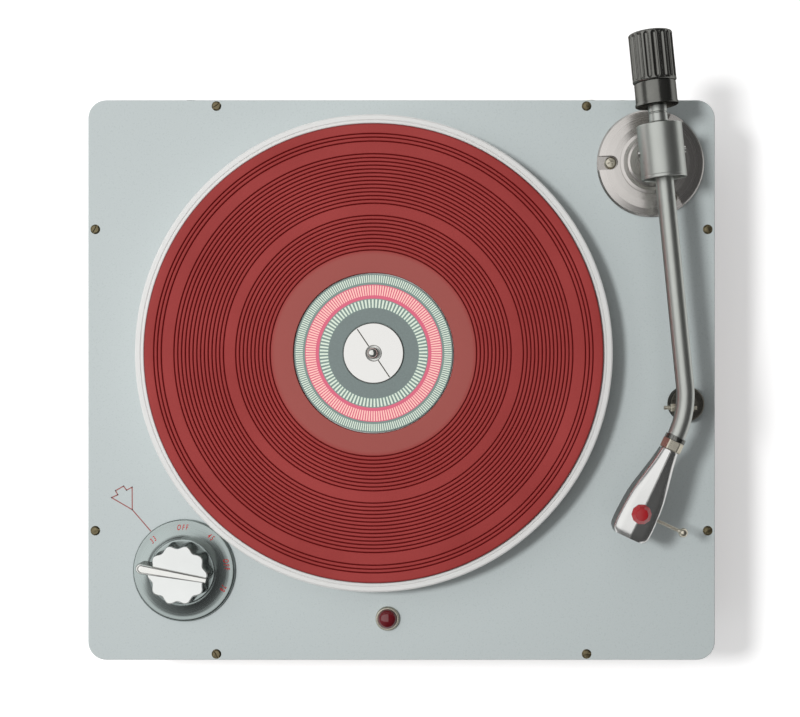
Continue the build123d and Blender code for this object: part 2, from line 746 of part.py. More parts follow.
with BuildPart() as rest_post:
    turn(
        REST,
        [
            (0, 92),
            (3, 92),
            (3, DECK_TOP),
            (11.4, DECK_TOP),
            (11.4, DECK_TOP + 9),
            (10.4, DECK_TOP + 10),
            (7.6, DECK_TOP + 10),
            (7.6, DECK_TOP + 11.5),
            (5.2, DECK_TOP + 11.5),
            (5.2, DECK_TOP + 10.5),
            (3.6, DECK_TOP + 10.5),
            (3.6, REST_PIN_H),
            (0, REST_PIN_H),
        ],
    )
    knurl = ring_of(11.7, *range(0, 360, 10))
    column(REST, DECK_TOP + 1, DECK_TOP + 8.6, 0.7, points=knurl, mode=Mode.SUBTRACT)
    column(REST_PIN, -REST_PIN_HALF, REST_PIN_HALF, REST_PIN_R, mode=Mode.SUBTRACT)
    slab(CRADLE, (CRADLE_W, CRADLE_L), CRADLE_FLOOR, ARM_H, mode=Mode.SUBTRACT)
rest_post.part.label = "rest_post"
export_step(rest_post.part, "parts/rest_post.step")

with BuildPart() as rest_pin:
    column(REST_PIN, -REST_PIN_HALF, REST_PIN_HALF, REST_PIN_R)
    slab(CRADLE, (CRADLE_W, CRADLE_L), CRADLE_FLOOR, CRADLE_FLOOR + 1)
    side = (CRADLE_W - CRADLE_WALL) / 2
    walls = [(-side, 0), (side, 0)]
    slab(CRADLE, (CRADLE_WALL, CRADLE_L), CRADLE_FLOOR, CRADLE_TOP, points=walls)
rest_pin.part.label = "rest_pin"
export_step(rest_pin.part, "parts/rest_pin.step")

# ---------------------------------------------------------------- arm pivot

PIVOT = Plane(
    ARM_BASE.origin + Vector(0, 0, ARM_H),
    x_dir=(cos(radians(LEAN)), sin(radians(LEAN)), 0),
    z_dir=heading(LEAN),
)
PITCH = Plane(PIVOT.origin, x_dir=heading(LEAN), z_dir=PIVOT.x_dir)
BLOCK_R = 9.5
BLOCK_HALF = 6.0
PITCH_R = 2.0
SADDLE_BOTTOM = PILLAR_TOP + 0.8

with BuildPart() as pivot_housing:
    column(PIVOT, -HOUSING_HALF, HOUSING_HALF, HOUSING_R)
    column(ARM_BASE, SADDLE_BOTTOM, ARM_H - 8, 8.5)
    column(PIVOT, -HOUSING_HALF, HOUSING_HALF, HOUSING_BORE, mode=Mode.SUBTRACT)
    column(PITCH, -HOUSING_R, HOUSING_R, PITCH_R, mode=Mode.SUBTRACT)
    column(ARM_BASE, SADDLE_BOTTOM, 142, YAW_R, mode=Mode.SUBTRACT)
pivot_housing.part.label = "pivot_housing"
export_step(pivot_housing.part, "parts/pivot_housing.step")

with BuildPart() as yaw_shaft:
    column(ARM_BASE, 94, 142, YAW_R)
yaw_shaft.part.label = "yaw_shaft"
export_step(yaw_shaft.part, "parts/yaw_shaft.step")

with BuildPart() as pitch_pins:
    for sense in (-1, 1):
        outer, tip = sorted((sense * 14.8, sense * 7))
        column(PITCH, outer, tip, PITCH_R)
pitch_pins.part.label = "pitch_pins"
export_step(pitch_pins.part, "parts/pitch_pins.step")

with BuildPart() as arm_block:
    column(PIVOT, -BLOCK_HALF, BLOCK_HALF, BLOCK_R)
    column(PITCH, -BLOCK_R, BLOCK_R, PITCH_R + RUNNING, mode=Mode.SUBTRACT)
    column(PIVOT, -BLOCK_HALF, BLOCK_HALF, TUBE_R, mode=Mode.SUBTRACT)
arm_block.part.label = "arm_block"
export_step(arm_block.part, "parts/arm_block.step")

# ---------------------------------------------------------------- arm and counterweight

ELBOW = PIVOT.origin + heading(LEAN) * STRAIGHT
BEND_CHORD = 2 * BEND_R * sin(radians((LEAN - HEAD_ANGLE) / 2))
TUBE_END = ELBOW + heading((LEAN + HEAD_ANGLE) / 2) * BEND_CHORD
TUBE_START = 8.0
NECK_R = 5.2

with BuildPart() as arm_tube:
    with BuildLine() as tube_run:
        Line(PIVOT.origin - heading(LEAN) * TUBE_START, ELBOW)
        TangentArc(ELBOW, TUBE_END, tangent=heading(LEAN))
    with BuildSketch(PIVOT.offset(-TUBE_START)):
        Circle(TUBE_R)
        Circle(TUBE_BORE, mode=Mode.SUBTRACT)
    sweep(path=tube_run.wires()[0])
arm_tube.part.label = "arm_tube"
export_step(arm_tube.part, "parts/arm_tube.step")

with BuildPart() as arm_stub:
    column(PIVOT, -62, -TUBE_START, STUB_R)
    column(PIVOT, -TUBE_START, 4, TUBE_BORE)
arm_stub.part.label = "arm_stub"
export_step(arm_stub.part, "parts/arm_stub.step")

WEIGHT_FLUTED = 43.0
WEIGHT_FLUTES = 18
WEIGHT_POCKET = (46.0, 10.0)

with BuildPart() as counterweight:
    turn(
        PIVOT,
        [
            (STUB_R + RUNNING, -WEIGHT_NEAR),
            (13.4, -WEIGHT_NEAR),
            (13.4, -WEIGHT_NEAR - 2),
            (12.9, -WEIGHT_NEAR - 2.6),
            (12.9, -WEIGHT_FLUTED + 0.8),
            (12.2, -WEIGHT_FLUTED),
            (WEIGHT_R - 0.6, -WEIGHT_FLUTED),
            (WEIGHT_R, -WEIGHT_FLUTED - 0.6),
            (WEIGHT_R, -WEIGHT_FAR),
            (WEIGHT_POCKET[1], -WEIGHT_FAR),
            (WEIGHT_POCKET[1], -WEIGHT_POCKET[0]),
            (STUB_R + RUNNING, -WEIGHT_POCKET[0]),
        ],
    )
    grooves = ring_of(14.6, *[i * 360 / WEIGHT_FLUTES for i in range(WEIGHT_FLUTES)])
    column(
        PIVOT,
        -WEIGHT_FAR + 3,
        -WEIGHT_FLUTED,
        1.7,
        points=grooves,
        mode=Mode.SUBTRACT,
    )
counterweight.part.label = "counterweight"
export_step(counterweight.part, "parts/counterweight.step")

# ---------------------------------------------------------------- head

HEAD = Plane(
    TUBE_END + heading(HEAD_ANGLE) * COLLAR_L,
    x_dir=(cos(radians(HEAD_ANGLE)), sin(radians(HEAD_ANGLE)), 0),
    z_dir=heading(HEAD_ANGLE),
)
KNOB_AT = 42.7
SHELL = 1.4
# Distance along the head, half width, ridge height, eaves height, bottom edge
HEAD_SECTIONS = [
    (0, 5.8, 5.8, 1.5, -5.6),
    (9, 7.0, 6.1, 2.0, -7.4),
    (20, 9.0, 6.2, 2.3, -10.2),
    (32, 11.0, 6.1, 2.4, -13.2),
    (43, 11.9, 5.9, 2.3, -14.0),
    (52, 11.2, 5.2, 1.8, -14.0),
    (57.5, 8.6, 4.2, 1.0, -13.8),
    (59.5, 5.6, 3.2, 0.4, -13.4),
]
HOLLOW_SECTIONS = [
    (10.5, 7.2, 6.1, 2.0, -7.8),
    *HEAD_SECTIONS[2:6],
    (57.2, 8.8, 4.3, 1.1, -13.8),
]
KNOB_CENTRE = HEAD.origin + heading(HEAD_ANGLE) * KNOB_AT
STYLUS_KNOB = Plane(KNOB_CENTRE - Vector(0, 0, ARM_H), x_dir=HEAD.z_dir)
FINGER_LIFT = Plane(KNOB_CENTRE - Vector(0, 0, 6), x_dir=HEAD.z_dir, z_dir=HEAD.x_dir)


def head_section(along, half, ridge, eaves, bottom, inset=0.0):
    """Roofed cross-section of the head shell, or of the hollow inside it."""
    half = half - inset
    ridge = ridge - inset
    eaves = eaves - inset
    floor = bottom - 5 if inset else bottom
    shoulder = (0.62 * half, eaves + 0.68 * (ridge - eaves))
    with BuildSketch(HEAD.offset(along)) as outline:
        Polygon(
            (-half, floor),
            (half, floor),
            (half, eaves),
            shoulder,
            (0, ridge),
            (-shoulder[0], shoulder[1]),
            (-half, eaves),
            align=None,
        )
    return outline.sketch


with BuildPart() as headshell:
    loft([head_section(*section) for section in HEAD_SECTIONS])
    hollow = [head_section(*section, inset=SHELL) for section in HOLLOW_SECTIONS]
    loft(hollow, mode=Mode.SUBTRACT)
    column(HEAD, -COLLAR_L, 1, NECK_R)
    column(HEAD, -COLLAR_L - 6, -COLLAR_L, TUBE_BORE - 0.4)
    column(STYLUS_KNOB, ARM_H, ARM_H + 10, 1.7, mode=Mode.SUBTRACT)
    column(FINGER_LIFT, 9, 14, 1.0, mode=Mode.SUBTRACT)
headshell.part.label = "headshell"
export_step(headshell.part, "parts/headshell.step")

with BuildPart() as finger_lift:
    column(FINGER_LIFT, 9.5, 30.6, 1.0)
    with Locations(FINGER_LIFT.origin + HEAD.x_dir * 30.6):
        Sphere(2.9)
finger_lift.part.label = "finger_lift"
export_step(finger_lift.part, "parts/finger_lift.step")

with BuildPart() as collar_nut:
    turn(
        HEAD.offset(-COLLAR_L),
        [
            (NECK_R + RUNNING, 0.3),
            (6.5, 0.3),
            (6.5, 3.2),
            (6.1, 3.6),
            (6.1, COLLAR_L - 0.3),
            (NECK_R + RUNNING, COLLAR_L - 0.3),
        ],
    )
    notches = ring_of(6.8, *range(0, 360, 30))
    column(
        HEAD.offset(-COLLAR_L), 0, 3, 0.7, points=notches, mode=Mode.SUBTRACT
    )
collar_nut.part.label = "collar_nut"
export_step(collar_nut.part, "parts/collar_nut.step")

with BuildPart() as cartridge:
    slab(STYLUS_KNOB, (24, 14), ARM_H - 14.5, ARM_H, corner=1.5, points=[(1, 0)])
    column(STYLUS_KNOB, ARM_H, ARM_H + 3.6, 3.4)
    column(STYLUS_KNOB, ARM_H - 15, ARM_H + 4, 1.5 + RUNNING, mode=Mode.SUBTRACT)
cartridge.part.label = "cartridge"
export_step(cartridge.part, "parts/cartridge.step")

KNOB_SEAT = 161.3

with BuildPart() as stylus_knob:
    turn(
        STYLUS_KNOB,
        [
            (0, KNOB_SEAT - 1),
            (1.5, KNOB_SEAT - 1),
            (1.5, KNOB_SEAT),
            (6.2, KNOB_SEAT),
            (6.2, KNOB_SEAT + 1.4),
            (5.4, KNOB_SEAT + 2.9),
            (3.6, KNOB_SEAT + 3.9),
            (0, KNOB_SEAT + 4.4),
        ],
    )
stylus_knob.part.label = "stylus_knob"
export_step(stylus_knob.part, "parts/stylus_knob.step")

with BuildPart() as stylus_carrier:
    column(STYLUS_KNOB, 138.6, KNOB_SEAT - 1, 1.5)
    slab(STYLUS_KNOB, (17, 4), 138.6, 139.9, corner=1.9)
    for side in (-6.4, 6.4):
        needle = Plane(STYLUS_KNOB.origin + STYLUS_KNOB.x_dir * side)
        turn(needle, [(0, 135.5), (0.5, 136.8), (0.8, 138.6), (0, 138.6)])
stylus_carrier.part.label = "stylus_carrier"
export_step(stylus_carrier.part, "parts/stylus_carrier.step")

# ---------------------------------------------------------------- rear connections

with BuildPart() as mains_gland:
    column(GLAND, -WALL, 0, 6)
    hexagon(GLAND, 0, 4, 9.5)
    column(GLAND, 4, 12, 7)
    column(GLAND, -WALL, 12, 3.5, mode=Mode.SUBTRACT)
mains_gland.part.label = "mains_gland"
export_step(mains_gland.part, "parts/mains_gland.step")

with BuildPart() as phono_sockets:
    column(SOCKETS, -WALL, 0, 4.5, points=SOCKET_PLACES)
    column(SOCKETS, 0, 1.5, 7, points=SOCKET_PLACES)
    column(SOCKETS, 1.5, 9, 4.2, points=SOCKET_PLACES)
    column(SOCKETS, 1, 9, 1.7, points=SOCKET_PLACES, mode=Mode.SUBTRACT)
phono_sockets.part.label = "phono_sockets"
export_step(phono_sockets.part, "parts/phono_sockets.step")

with BuildPart() as ground_post:
    column(SOCKETS, -WALL, 9.2, 2, points=GROUND_PLACE)
    hexagon(SOCKETS, 0, 2.5, 4.5, points=GROUND_PLACE)
    column(SOCKETS, 4, 9, 5, points=GROUND_PLACE)
ground_post.part.label = "ground_post"
export_step(ground_post.part, "parts/ground_post.step")
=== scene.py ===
import json
from math import cos, hypot, pi, radians, sin, sqrt

import bmesh
import bpy
from mathutils import Matrix, Vector

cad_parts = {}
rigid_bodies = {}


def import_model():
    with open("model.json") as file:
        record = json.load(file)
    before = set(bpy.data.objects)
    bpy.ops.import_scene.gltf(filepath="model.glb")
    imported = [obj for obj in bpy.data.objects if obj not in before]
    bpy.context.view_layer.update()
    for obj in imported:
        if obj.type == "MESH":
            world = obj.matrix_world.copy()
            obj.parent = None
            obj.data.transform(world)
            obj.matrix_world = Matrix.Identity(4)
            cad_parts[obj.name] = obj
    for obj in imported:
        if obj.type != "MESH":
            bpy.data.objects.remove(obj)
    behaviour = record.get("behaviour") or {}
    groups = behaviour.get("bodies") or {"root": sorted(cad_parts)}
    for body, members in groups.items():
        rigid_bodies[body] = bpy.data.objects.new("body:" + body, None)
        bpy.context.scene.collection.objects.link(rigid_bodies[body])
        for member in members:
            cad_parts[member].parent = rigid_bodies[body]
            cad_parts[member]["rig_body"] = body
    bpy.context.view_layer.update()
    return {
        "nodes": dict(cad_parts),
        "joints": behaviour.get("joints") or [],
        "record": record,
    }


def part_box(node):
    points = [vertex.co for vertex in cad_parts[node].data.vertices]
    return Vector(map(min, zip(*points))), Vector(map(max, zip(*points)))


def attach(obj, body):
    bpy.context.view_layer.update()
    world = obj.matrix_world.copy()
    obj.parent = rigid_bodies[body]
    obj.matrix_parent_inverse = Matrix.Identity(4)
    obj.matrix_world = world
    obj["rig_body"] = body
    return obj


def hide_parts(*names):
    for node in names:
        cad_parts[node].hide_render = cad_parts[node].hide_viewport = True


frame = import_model()

MM = 0.001
UP = Vector((0, 0, 1))
NODES = frame["nodes"]
JOINTS = {joint["name"]: joint for joint in frame["joints"]}
FINE = 256


# ---------------------------------------------------------------- places

def axis_of(joint):
    """Unit vector along a joint's axis."""
    return Vector(JOINTS[joint]["axis"]).normalized()


def point_of(joint):
    return Vector(JOINTS[joint]["pos_m"])


def middle(node):
    low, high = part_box(node)
    return (low + high) / 2


def top_of(node):
    """Height of a node's top, in mm."""
    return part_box(node)[1].z / MM


def bottom_of(node):
    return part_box(node)[0].z / MM


def radius_of(node):
    """Radius of an upright round node, in mm."""
    low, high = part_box(node)
    return (high.x - low.x) / 2 / MM


def axes(origin, z_dir=UP, x_dir=Vector((1, 0, 0))):
    """Place with its z axis along z_dir and its x axis along x_dir."""
    y_dir = z_dir.cross(x_dir)
    place = Matrix((x_dir, y_dir, z_dir)).transposed().to_4x4()
    place.translation = Vector(origin)
    return place


def upright(point):
    """Place on the ground below a point, so that heights are the frame's own."""
    return axes((point.x, point.y, 0))


ARM_SIDE = -axis_of("arm_lift")
ARM_AHEAD = ARM_SIDE.cross(UP)
HEAD_AHEAD = axis_of("collar_turn")

DECK = upright(middle("deck_plate"))
PLATTER = upright(point_of("platter_spin"))
SELECTOR = upright(point_of("selector_turn"))
LAMP = upright(middle("lamp_bezel"))
REST = upright(middle("rest_post"))
ARM_BASE = upright(point_of("arm_swing"))
PIVOT = axes(point_of("arm_lift"), ARM_AHEAD, ARM_SIDE)
HEAD = axes(point_of("collar_turn"), HEAD_AHEAD, UP.cross(HEAD_AHEAD))
KNOB_SPOT = point_of("stylus_turn")
STYLUS = upright(KNOB_SPOT)
DECK_TOP = top_of("deck_plate")


# ---------------------------------------------------------------- shader graphs

def rgb(red, green, blue):
    """Linear colour from sRGB values of 0 to 255."""
    def linear(value):
        value = value / 255
        return value / 12.92 if value <= 0.04045 else ((value + 0.055) / 1.055) ** 2.4

    return (linear(red), linear(green), linear(blue), 1)


def shade(colour, factor):
    return tuple(min(1, c * factor) for c in colour[:3]) + (1,)


def join(tree, value, socket):
    """Sets a socket, or links another node's output to it."""
    if isinstance(value, bpy.types.NodeSocket):
        tree.links.new(value, socket)
    else:
        socket.default_value = value


def put(tree, kind, sockets, **settings):
    node = tree.nodes.new(kind)
    for name, value in settings.items():
        setattr(node, name, value)
    for name, value in sockets.items():
        join(tree, value, node.inputs[name])
    return node


def calc(tree, operation, first, second=0.0):
    return put(tree, "ShaderNodeMath", {0: first, 1: second}, operation=operation).outputs[0]


def ramp(tree, value, low, high, out_low=0.0, out_high=1.0, smooth=False):
    """Value carried from one range to another, and held at its ends."""
    kind = "SMOOTHSTEP" if smooth else "LINEAR"
    sockets = {"Value": value, 1: low, 2: high, 3: out_low, 4: out_high}
    return put(tree, "ShaderNodeMapRange", sockets, interpolation_type=kind).outputs[0]


def mix(tree, factor, first, second):
    sockets = {0: factor, 6: first, 7: second}
    return put(tree, "ShaderNodeMix", sockets, data_type="RGBA").outputs[2]


def noise(tree, where, scale, detail=3.0):
    sockets = {"Vector": where, "Scale": scale, "Detail": detail}
    return put(tree, "ShaderNodeTexNoise", sockets).outputs[0]


def object_place(tree, scale=None, centre=None):
    """Object coordinates, stretched or measured from a centre."""
    place = put(tree, "ShaderNodeTexCoord", {}).outputs["Object"]
    if centre is not None:
        sockets = {0: place, 1: centre}
        place = put(tree, "ShaderNodeVectorMath", sockets, operation="SUBTRACT").outputs[0]
    if scale is not None:
        sockets = {0: place, 1: scale}
        place = put(tree, "ShaderNodeVectorMath", sockets, operation="MULTIPLY").outputs[0]
    return place


def polar(tree, place):
    """Distance from the z axis, and the angle round it."""
    split = put(tree, "ShaderNodeSeparateXYZ", {0: place})
    x, y = split.outputs[0], split.outputs[1]
    squares = calc(tree, "ADD", calc(tree, "MULTIPLY", x, x), calc(tree, "MULTIPLY", y, y))
    return calc(tree, "SQRT", squares), calc(tree, "ARCTAN2", y, x)


MATERIALS = {}


def blank(slot, **sockets):
    """New material with one Principled shader, kept under its slot's name."""
    material = bpy.data.materials.new(slot)
    material.use_nodes = True
    tree = material.node_tree
    tree.nodes.clear()
    output = tree.nodes.new("ShaderNodeOutputMaterial")
    shader = tree.nodes.new("ShaderNodeBsdfPrincipled")
    tree.links.new(shader.outputs[0], output.inputs[0])
    for name, value in sockets.items():
        shader.inputs[name.replace("_", " ")].default_value = value
    MATERIALS[slot] = material
    return tree, shader


def surface(tree, shader, colour, rough, fine, relief):
    """Links a colour, a roughness that follows the fine pattern, and its bump."""
    join(tree, colour, shader.inputs["Base Color"])
    join(tree, ramp(tree, fine, 0.25, 0.75, *rough), shader.inputs["Roughness"])
    sockets = {"Height": fine, "Distance": relief, "Strength": 1.0}
    join(tree, put(tree, "ShaderNodeBump", sockets).outputs[0], shader.inputs["Normal"])


def plain(slot, colour, rough, vary=0.08, patch=40.0, grain=1500.0, relief=0.02,
          stretch=None, rings=None, centre=None, **sockets):
    """Finish with broad patches of tone and a fine grain in colour, gloss and height.

    The grain is even, stretched into brush marks, or turned in rings round the z axis."""
    tree, shader = blank(slot, **sockets)
    place = object_place(tree, centre=centre)
    broad = noise(tree, place, patch)
    if rings:
        radius, _ = polar(tree, place)
        sockets = {"W": calc(tree, "MULTIPLY", radius, rings), "Scale": 1.0, "Detail": 3.0}
        grain_node = put(tree, "ShaderNodeTexNoise", sockets, noise_dimensions="1D")
        fine = grain_node.outputs[0]
    else:
        fine = noise(tree, object_place(tree, stretch, centre), grain, 4.0)
    both = calc(tree, "ADD", calc(tree, "MULTIPLY", broad, 0.65), calc(tree, "MULTIPLY", fine, 0.35))
    spread = ramp(tree, both, 0.3, 0.7)
    tone = mix(tree, spread, shade(colour, 1 - vary), shade(colour, 1 + vary))
    surface(tree, shader, tone, (rough * 0.8, rough * 1.2), fine, relief * MM)
    return tree, shader


def metal(slot, colour, rough, **settings):
    """Metal finish that darkens where it is seen edge on."""
    tree, shader = plain(slot, colour, rough, Metallic=1.0, **settings)
    shader.inputs["Specular Tint"].default_value = EDGE_TINT


# ---------------------------------------------------------------- finishes

def walnut():
    tree, shader = blank("walnut", Coat_Weight=0.25, Coat_Roughness=0.25)
    place = object_place(tree)
    x, y, z = put(tree, "ShaderNodeSeparateXYZ", {0: place}).outputs
    facing = put(tree, "ShaderNodeTexCoord", {}).outputs["Normal"]
    across = put(tree, "ShaderNodeSeparateXYZ", {0: facing}).outputs[0]
    end_panel = calc(tree, "GREATER_THAN", calc(tree, "ABSOLUTE", across), 0.7)
    turned = put(tree, "ShaderNodeCombineXYZ", {0: y, 1: x, 2: z}).outputs[0]
    along_grain = mix(tree, end_panel, place, turned)

    def stretched(scale):
        return put(tree, "ShaderNodeVectorMath", {0: along_grain, 1: scale}, operation="MULTIPLY").outputs[0]

    wander = noise(tree, stretched((2.0, 6.0, 6.0)), 3.0, 2.0)
    figure = noise(tree, stretched((1.2, 9.0, 14.0)), 4.0, 6.0)
    lines = calc(tree, "ADD", calc(tree, "MULTIPLY", figure, 9.0), calc(tree, "MULTIPLY", wander, 4.0))
    grain = calc(tree, "ABSOLUTE", calc(tree, "SINE", lines))
    pores = noise(tree, stretched((20.0, 500.0, 500.0)), 4.0, 3.0)
    tone = mix(tree, grain, rgb(62, 34, 20), rgb(116, 70, 42))
    deep = ramp(tree, pores, 0.52, 0.66)
    tone = mix(tree, deep, tone, rgb(38, 20, 12))
    surface(tree, shader, tone, (0.34, 0.5), pores, 0.08 * MM)


def strobe_print():
    """Speed rings printed on the disc: bands of ticks between plain bands."""
    tree, shader = blank("strobe_print", Coat_Weight=0.3, Coat_Roughness=0.2)
    place = object_place(tree)
    radius, angle = polar(tree, place)
    green, cream = rgb(118, 138, 132), rgb(216, 228, 212)
    pink, blush, slate = rgb(214, 96, 122), rgb(250, 196, 186), rgb(112, 124, 122)
    speckle = noise(tree, place, 900.0)

    def band(inner, outer):
        inside = calc(tree, "GREATER_THAN", radius, inner * MM)
        return calc(tree, "MULTIPLY", inside, calc(tree, "LESS_THAN", radius, outer * MM))

    def ticks(count, inner, outer, share):
        turns = calc(tree, "FRACT", calc(tree, "MULTIPLY", angle, count / (2 * pi)))
        return calc(tree, "MULTIPLY", calc(tree, "LESS_THAN", turns, share), band(inner, outer))

    tone = mix(tree, ramp(tree, speckle, 0.3, 0.7), shade(slate, 0.93), shade(slate, 1.07))
    tone = mix(tree, band(28.6, 60.0), tone, green)
    tone = mix(tree, ticks(92, 28.9, 34.2, 0.5), tone, cream)
    tone = mix(tree, band(34.7, 43.6), tone, pink)
    tone = mix(tree, ticks(160, 36.8, 43.1, 0.55), tone, blush)
    tone = mix(tree, ticks(216, 45.0, 49.6, 0.5), tone, cream)
    surface(tree, shader, tone, (0.3, 0.45), speckle, 0.01 * MM)


def red_rubber():
    """Moulded mat rubber, dusty on its ribs, with painted shade: deep dark red down in its grooves."""
    tree, shader = blank("red_rubber", Specular_IOR_Level=0.4)
    place = object_place(tree)
    height = put(tree, "ShaderNodeSeparateXYZ", {0: place}).outputs[2]
    mat_top = top_of("platter_mat") * MM
    # Painted shade: everything below the ribs' tops turns a deeper, darker red, standing for the shade in
    # the grooves
    groove_shade = ramp(tree, height, mat_top - 0.55 * MM, mat_top - 0.05 * MM)
    broad = noise(tree, place, 14.0)
    fine = noise(tree, place, 1800.0, 4.0)
    dust = ramp(tree, calc(tree, "ADD", broad, fine), 0.7, 1.3)
    worn = mix(tree, dust, rgb(138, 44, 42), rgb(156, 58, 56))
    radius, _ = polar(tree, place)
    handled = ramp(tree, radius, 67 * MM, 62 * MM, 0.0, 0.75, smooth=True)
    worn = mix(tree, handled, worn, rgb(154, 84, 78))
    tone = mix(tree, groove_shade, rgb(92, 4, 8), worn)
    surface(tree, shader, tone, (0.42, 0.6), fine, 0.03 * MM)


EDGE_TINT = (0.3, 0.3, 0.3, 1)
walnut()
strobe_print()
red_rubber()
plain("hardboard", rgb(120, 88, 60), 0.75, vary=0.18, patch=60.0, grain=900.0, relief=0.1)
plain("foot_rubber", rgb(34, 34, 34), 0.7, vary=0.15, relief=0.05)
plain("grommet_rubber", rgb(40, 40, 42), 0.65, vary=0.15, relief=0.03)
plain("idler_rubber", rgb(44, 44, 44), 0.8, vary=0.12, relief=0.04)
plain("deck_enamel", rgb(180, 188, 188), 0.3, vary=0.012, patch=9.0, grain=1100.0, relief=0.004,
      Coat_Weight=0.15, Coat_Roughness=0.25)
plain("motor_paint", rgb(70, 78, 74), 0.4, vary=0.08, grain=1600.0, relief=0.03)
plain("black_bakelite", rgb(26, 24, 22), 0.28, vary=0.12, relief=0.01)
plain("red_plastic", rgb(150, 12, 22), 0.22, vary=0.06, relief=0.006, Coat_Weight=0.4)
plain("stylus_plastic", rgb(222, 216, 196), 0.35, vary=0.04, relief=0.01)
plain("ruby_glass", rgb(92, 4, 16), 0.07, vary=0.12, patch=120.0, relief=0.002, Coat_Weight=1.0,
      Coat_Roughness=0.03)
plain("bulb_glass", rgb(236, 230, 214), 0.08, vary=0.03, relief=0.002, Transmission_Weight=0.8)
plain("dial_print", rgb(176, 40, 38), 0.5, vary=0.1, relief=0.01)
plain("deck_print", rgb(150, 92, 88), 0.5, vary=0.1, relief=0.01)
metal("steel_fastener", rgb(206, 206, 202), 0.3, relief=0.01)
metal("antique_fastener", rgb(128, 118, 92), 0.3, vary=0.3, patch=500.0, relief=0.03)
metal("zinc_steel", rgb(190, 194, 196), 0.38, vary=0.1, patch=90.0, relief=0.02)
metal("stator_steel", rgb(120, 122, 124), 0.45, grain=2500.0, stretch=(1.0, 1.0, 40.0), relief=0.03)
metal("polished_steel", rgb(232, 232, 228), 0.12, vary=0.03, relief=0.002)
metal("bearing_iron", rgb(126, 124, 120), 0.5, vary=0.12, relief=0.05)
metal("bearing_brass", rgb(206, 170, 100), 0.3, vary=0.08, relief=0.01)
metal("coil_copper", rgb(196, 112, 70), 0.35, grain=1200.0, stretch=(0.3, 0.3, 8.0), relief=0.15)
metal("nickel", rgb(214, 208, 192), 0.3, vary=0.08, patch=200.0, relief=0.008)
plain("platter_aluminium", rgb(226, 226, 224), 0.42, vary=0.02, rings=2600.0, relief=0.004, Metallic=0.35)
metal("arm_aluminium", rgb(198, 201, 196), 0.38, vary=0.04, grain=2600.0, relief=0.008)
metal("arm_satin_chrome", rgb(206, 202, 198), 0.24, vary=0.05, rings=2400.0, relief=0.008,
      centre=tuple(ARM_BASE.translation))
metal("hub_chrome", rgb(240, 239, 236), 0.1, vary=0.01, relief=0.0006)
metal("head_polish", rgb(226, 226, 224), 0.22, vary=0.05, grain=1400.0, relief=0.004)
metal("dark_chrome", rgb(120, 120, 116), 0.2, vary=0.16, patch=60.0, relief=0.006)
metal("dark_knurl", rgb(92, 90, 84), 0.3, vary=0.14, patch=120.0, relief=0.01)
metal("dial_metal", rgb(176, 186, 184), 0.24, vary=0.05, rings=1500.0, relief=0.003)
metal("knob_metal", rgb(236, 238, 236), 0.16, vary=0.04, relief=0.003)
metal("knob_bright", rgb(240, 240, 236), 0.16, vary=0.03, relief=0.002)


# ---------------------------------------------------------------- meshes

def piece(name, mesh, place, slot, node, finish=None, crease=35, stands_for_node=True):
    """Object from a mesh in mm. It rides with a node's body, and can stand for that node."""
    bmesh.ops.recalc_face_normals(mesh, faces=mesh.faces)
    data = bpy.data.meshes.new(name)
    mesh.to_mesh(data)
    mesh.free()
    data.transform(Matrix.Scale(MM, 4))
    data.shade_smooth()
    data.set_sharp_from_angle(angle=radians(crease))
    data.materials.append(MATERIALS[finish or slot])
    thing = bpy.data.objects.new(name, data)
    bpy.context.scene.collection.objects.link(thing)
    thing.matrix_world = place
    even = thing.modifiers.new("flat faces keep flat", "WEIGHTED_NORMAL")
    even.keep_sharp = True
    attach(thing, NODES[node]["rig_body"])
    if stands_for_node:
        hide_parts(node)
    return thing


def extra(*values, **settings):
    """Piece that stands for no node of its own."""
    return piece(*values, stands_for_node=False, **settings)


def shell(rings, closed):
    """Mesh through rings of points; a ring of one point closes that end."""
    mesh = bmesh.new()
    loops = [[mesh.verts.new(point) for point in ring] for ring in rings]
    pairs = list(zip(loops, loops[1:]))
    if closed:
        pairs.append((loops[-1], loops[0]))
    for lower, upper in pairs:
        count = max(len(lower), len(upper))
        for i in range(count):
            low, high = i % len(lower), i % len(upper)
            next_low, next_high = (i + 1) % len(lower), (i + 1) % len(upper)
            corners = (lower[low], lower[next_low], upper[next_high], upper[high])
            corners = list(dict.fromkeys(corners))
            if len(corners) > 2:
                mesh.faces.new(corners)
    return mesh


def lathe(profile, steps=FINE, cut=None):
    """Turned mesh from (radius, height) points; cut(angle, height) is taken off the radius."""
    rings = []
    for radius, height in profile:
        if radius < 0.001:
            rings.append([(0, 0, height)])
            continue
        ring = []
        for i in range(steps):
            angle = 2 * pi * i / steps
            reach = radius - (cut(angle, height) if cut else 0)
            ring.append((reach * cos(angle), reach * sin(angle), height))
        rings.append(ring)
    return shell(rings, closed=profile[0][0] > 0.001)


def eased(profile, radius, parts=4):
    """The same outline with its corners rounded."""
    loop = profile[0][0] > 0.001
    result = []
    for i, point in enumerate(profile):
        here = Vector(point)
        if not loop and i in (0, len(profile) - 1):
            result.append(tuple(here))
            continue
        back = Vector(profile[i - 1]) - here
        ahead = Vector(profile[(i + 1) % len(profile)]) - here
        start = here + back.normalized() * min(radius, 0.45 * back.length)
        end = here + ahead.normalized() * min(radius, 0.45 * ahead.length)
        for k in range(parts + 1):
            t = k / parts
            bent = start * (1 - t) ** 2 + here * 2 * t * (1 - t) + end * t * t
            result.append(tuple(bent))
    return result


def arc(centre, radius, start, end, steps):
    """Points of an arc in the (radius, height) plane, angles in degrees."""
    angles = [radians(start + (end - start) * i / steps) for i in range(steps + 1)]
    return [(centre[0] + radius * cos(a), centre[1] + radius * sin(a)) for a in angles]


# ---------------------------------------------------------------- platter

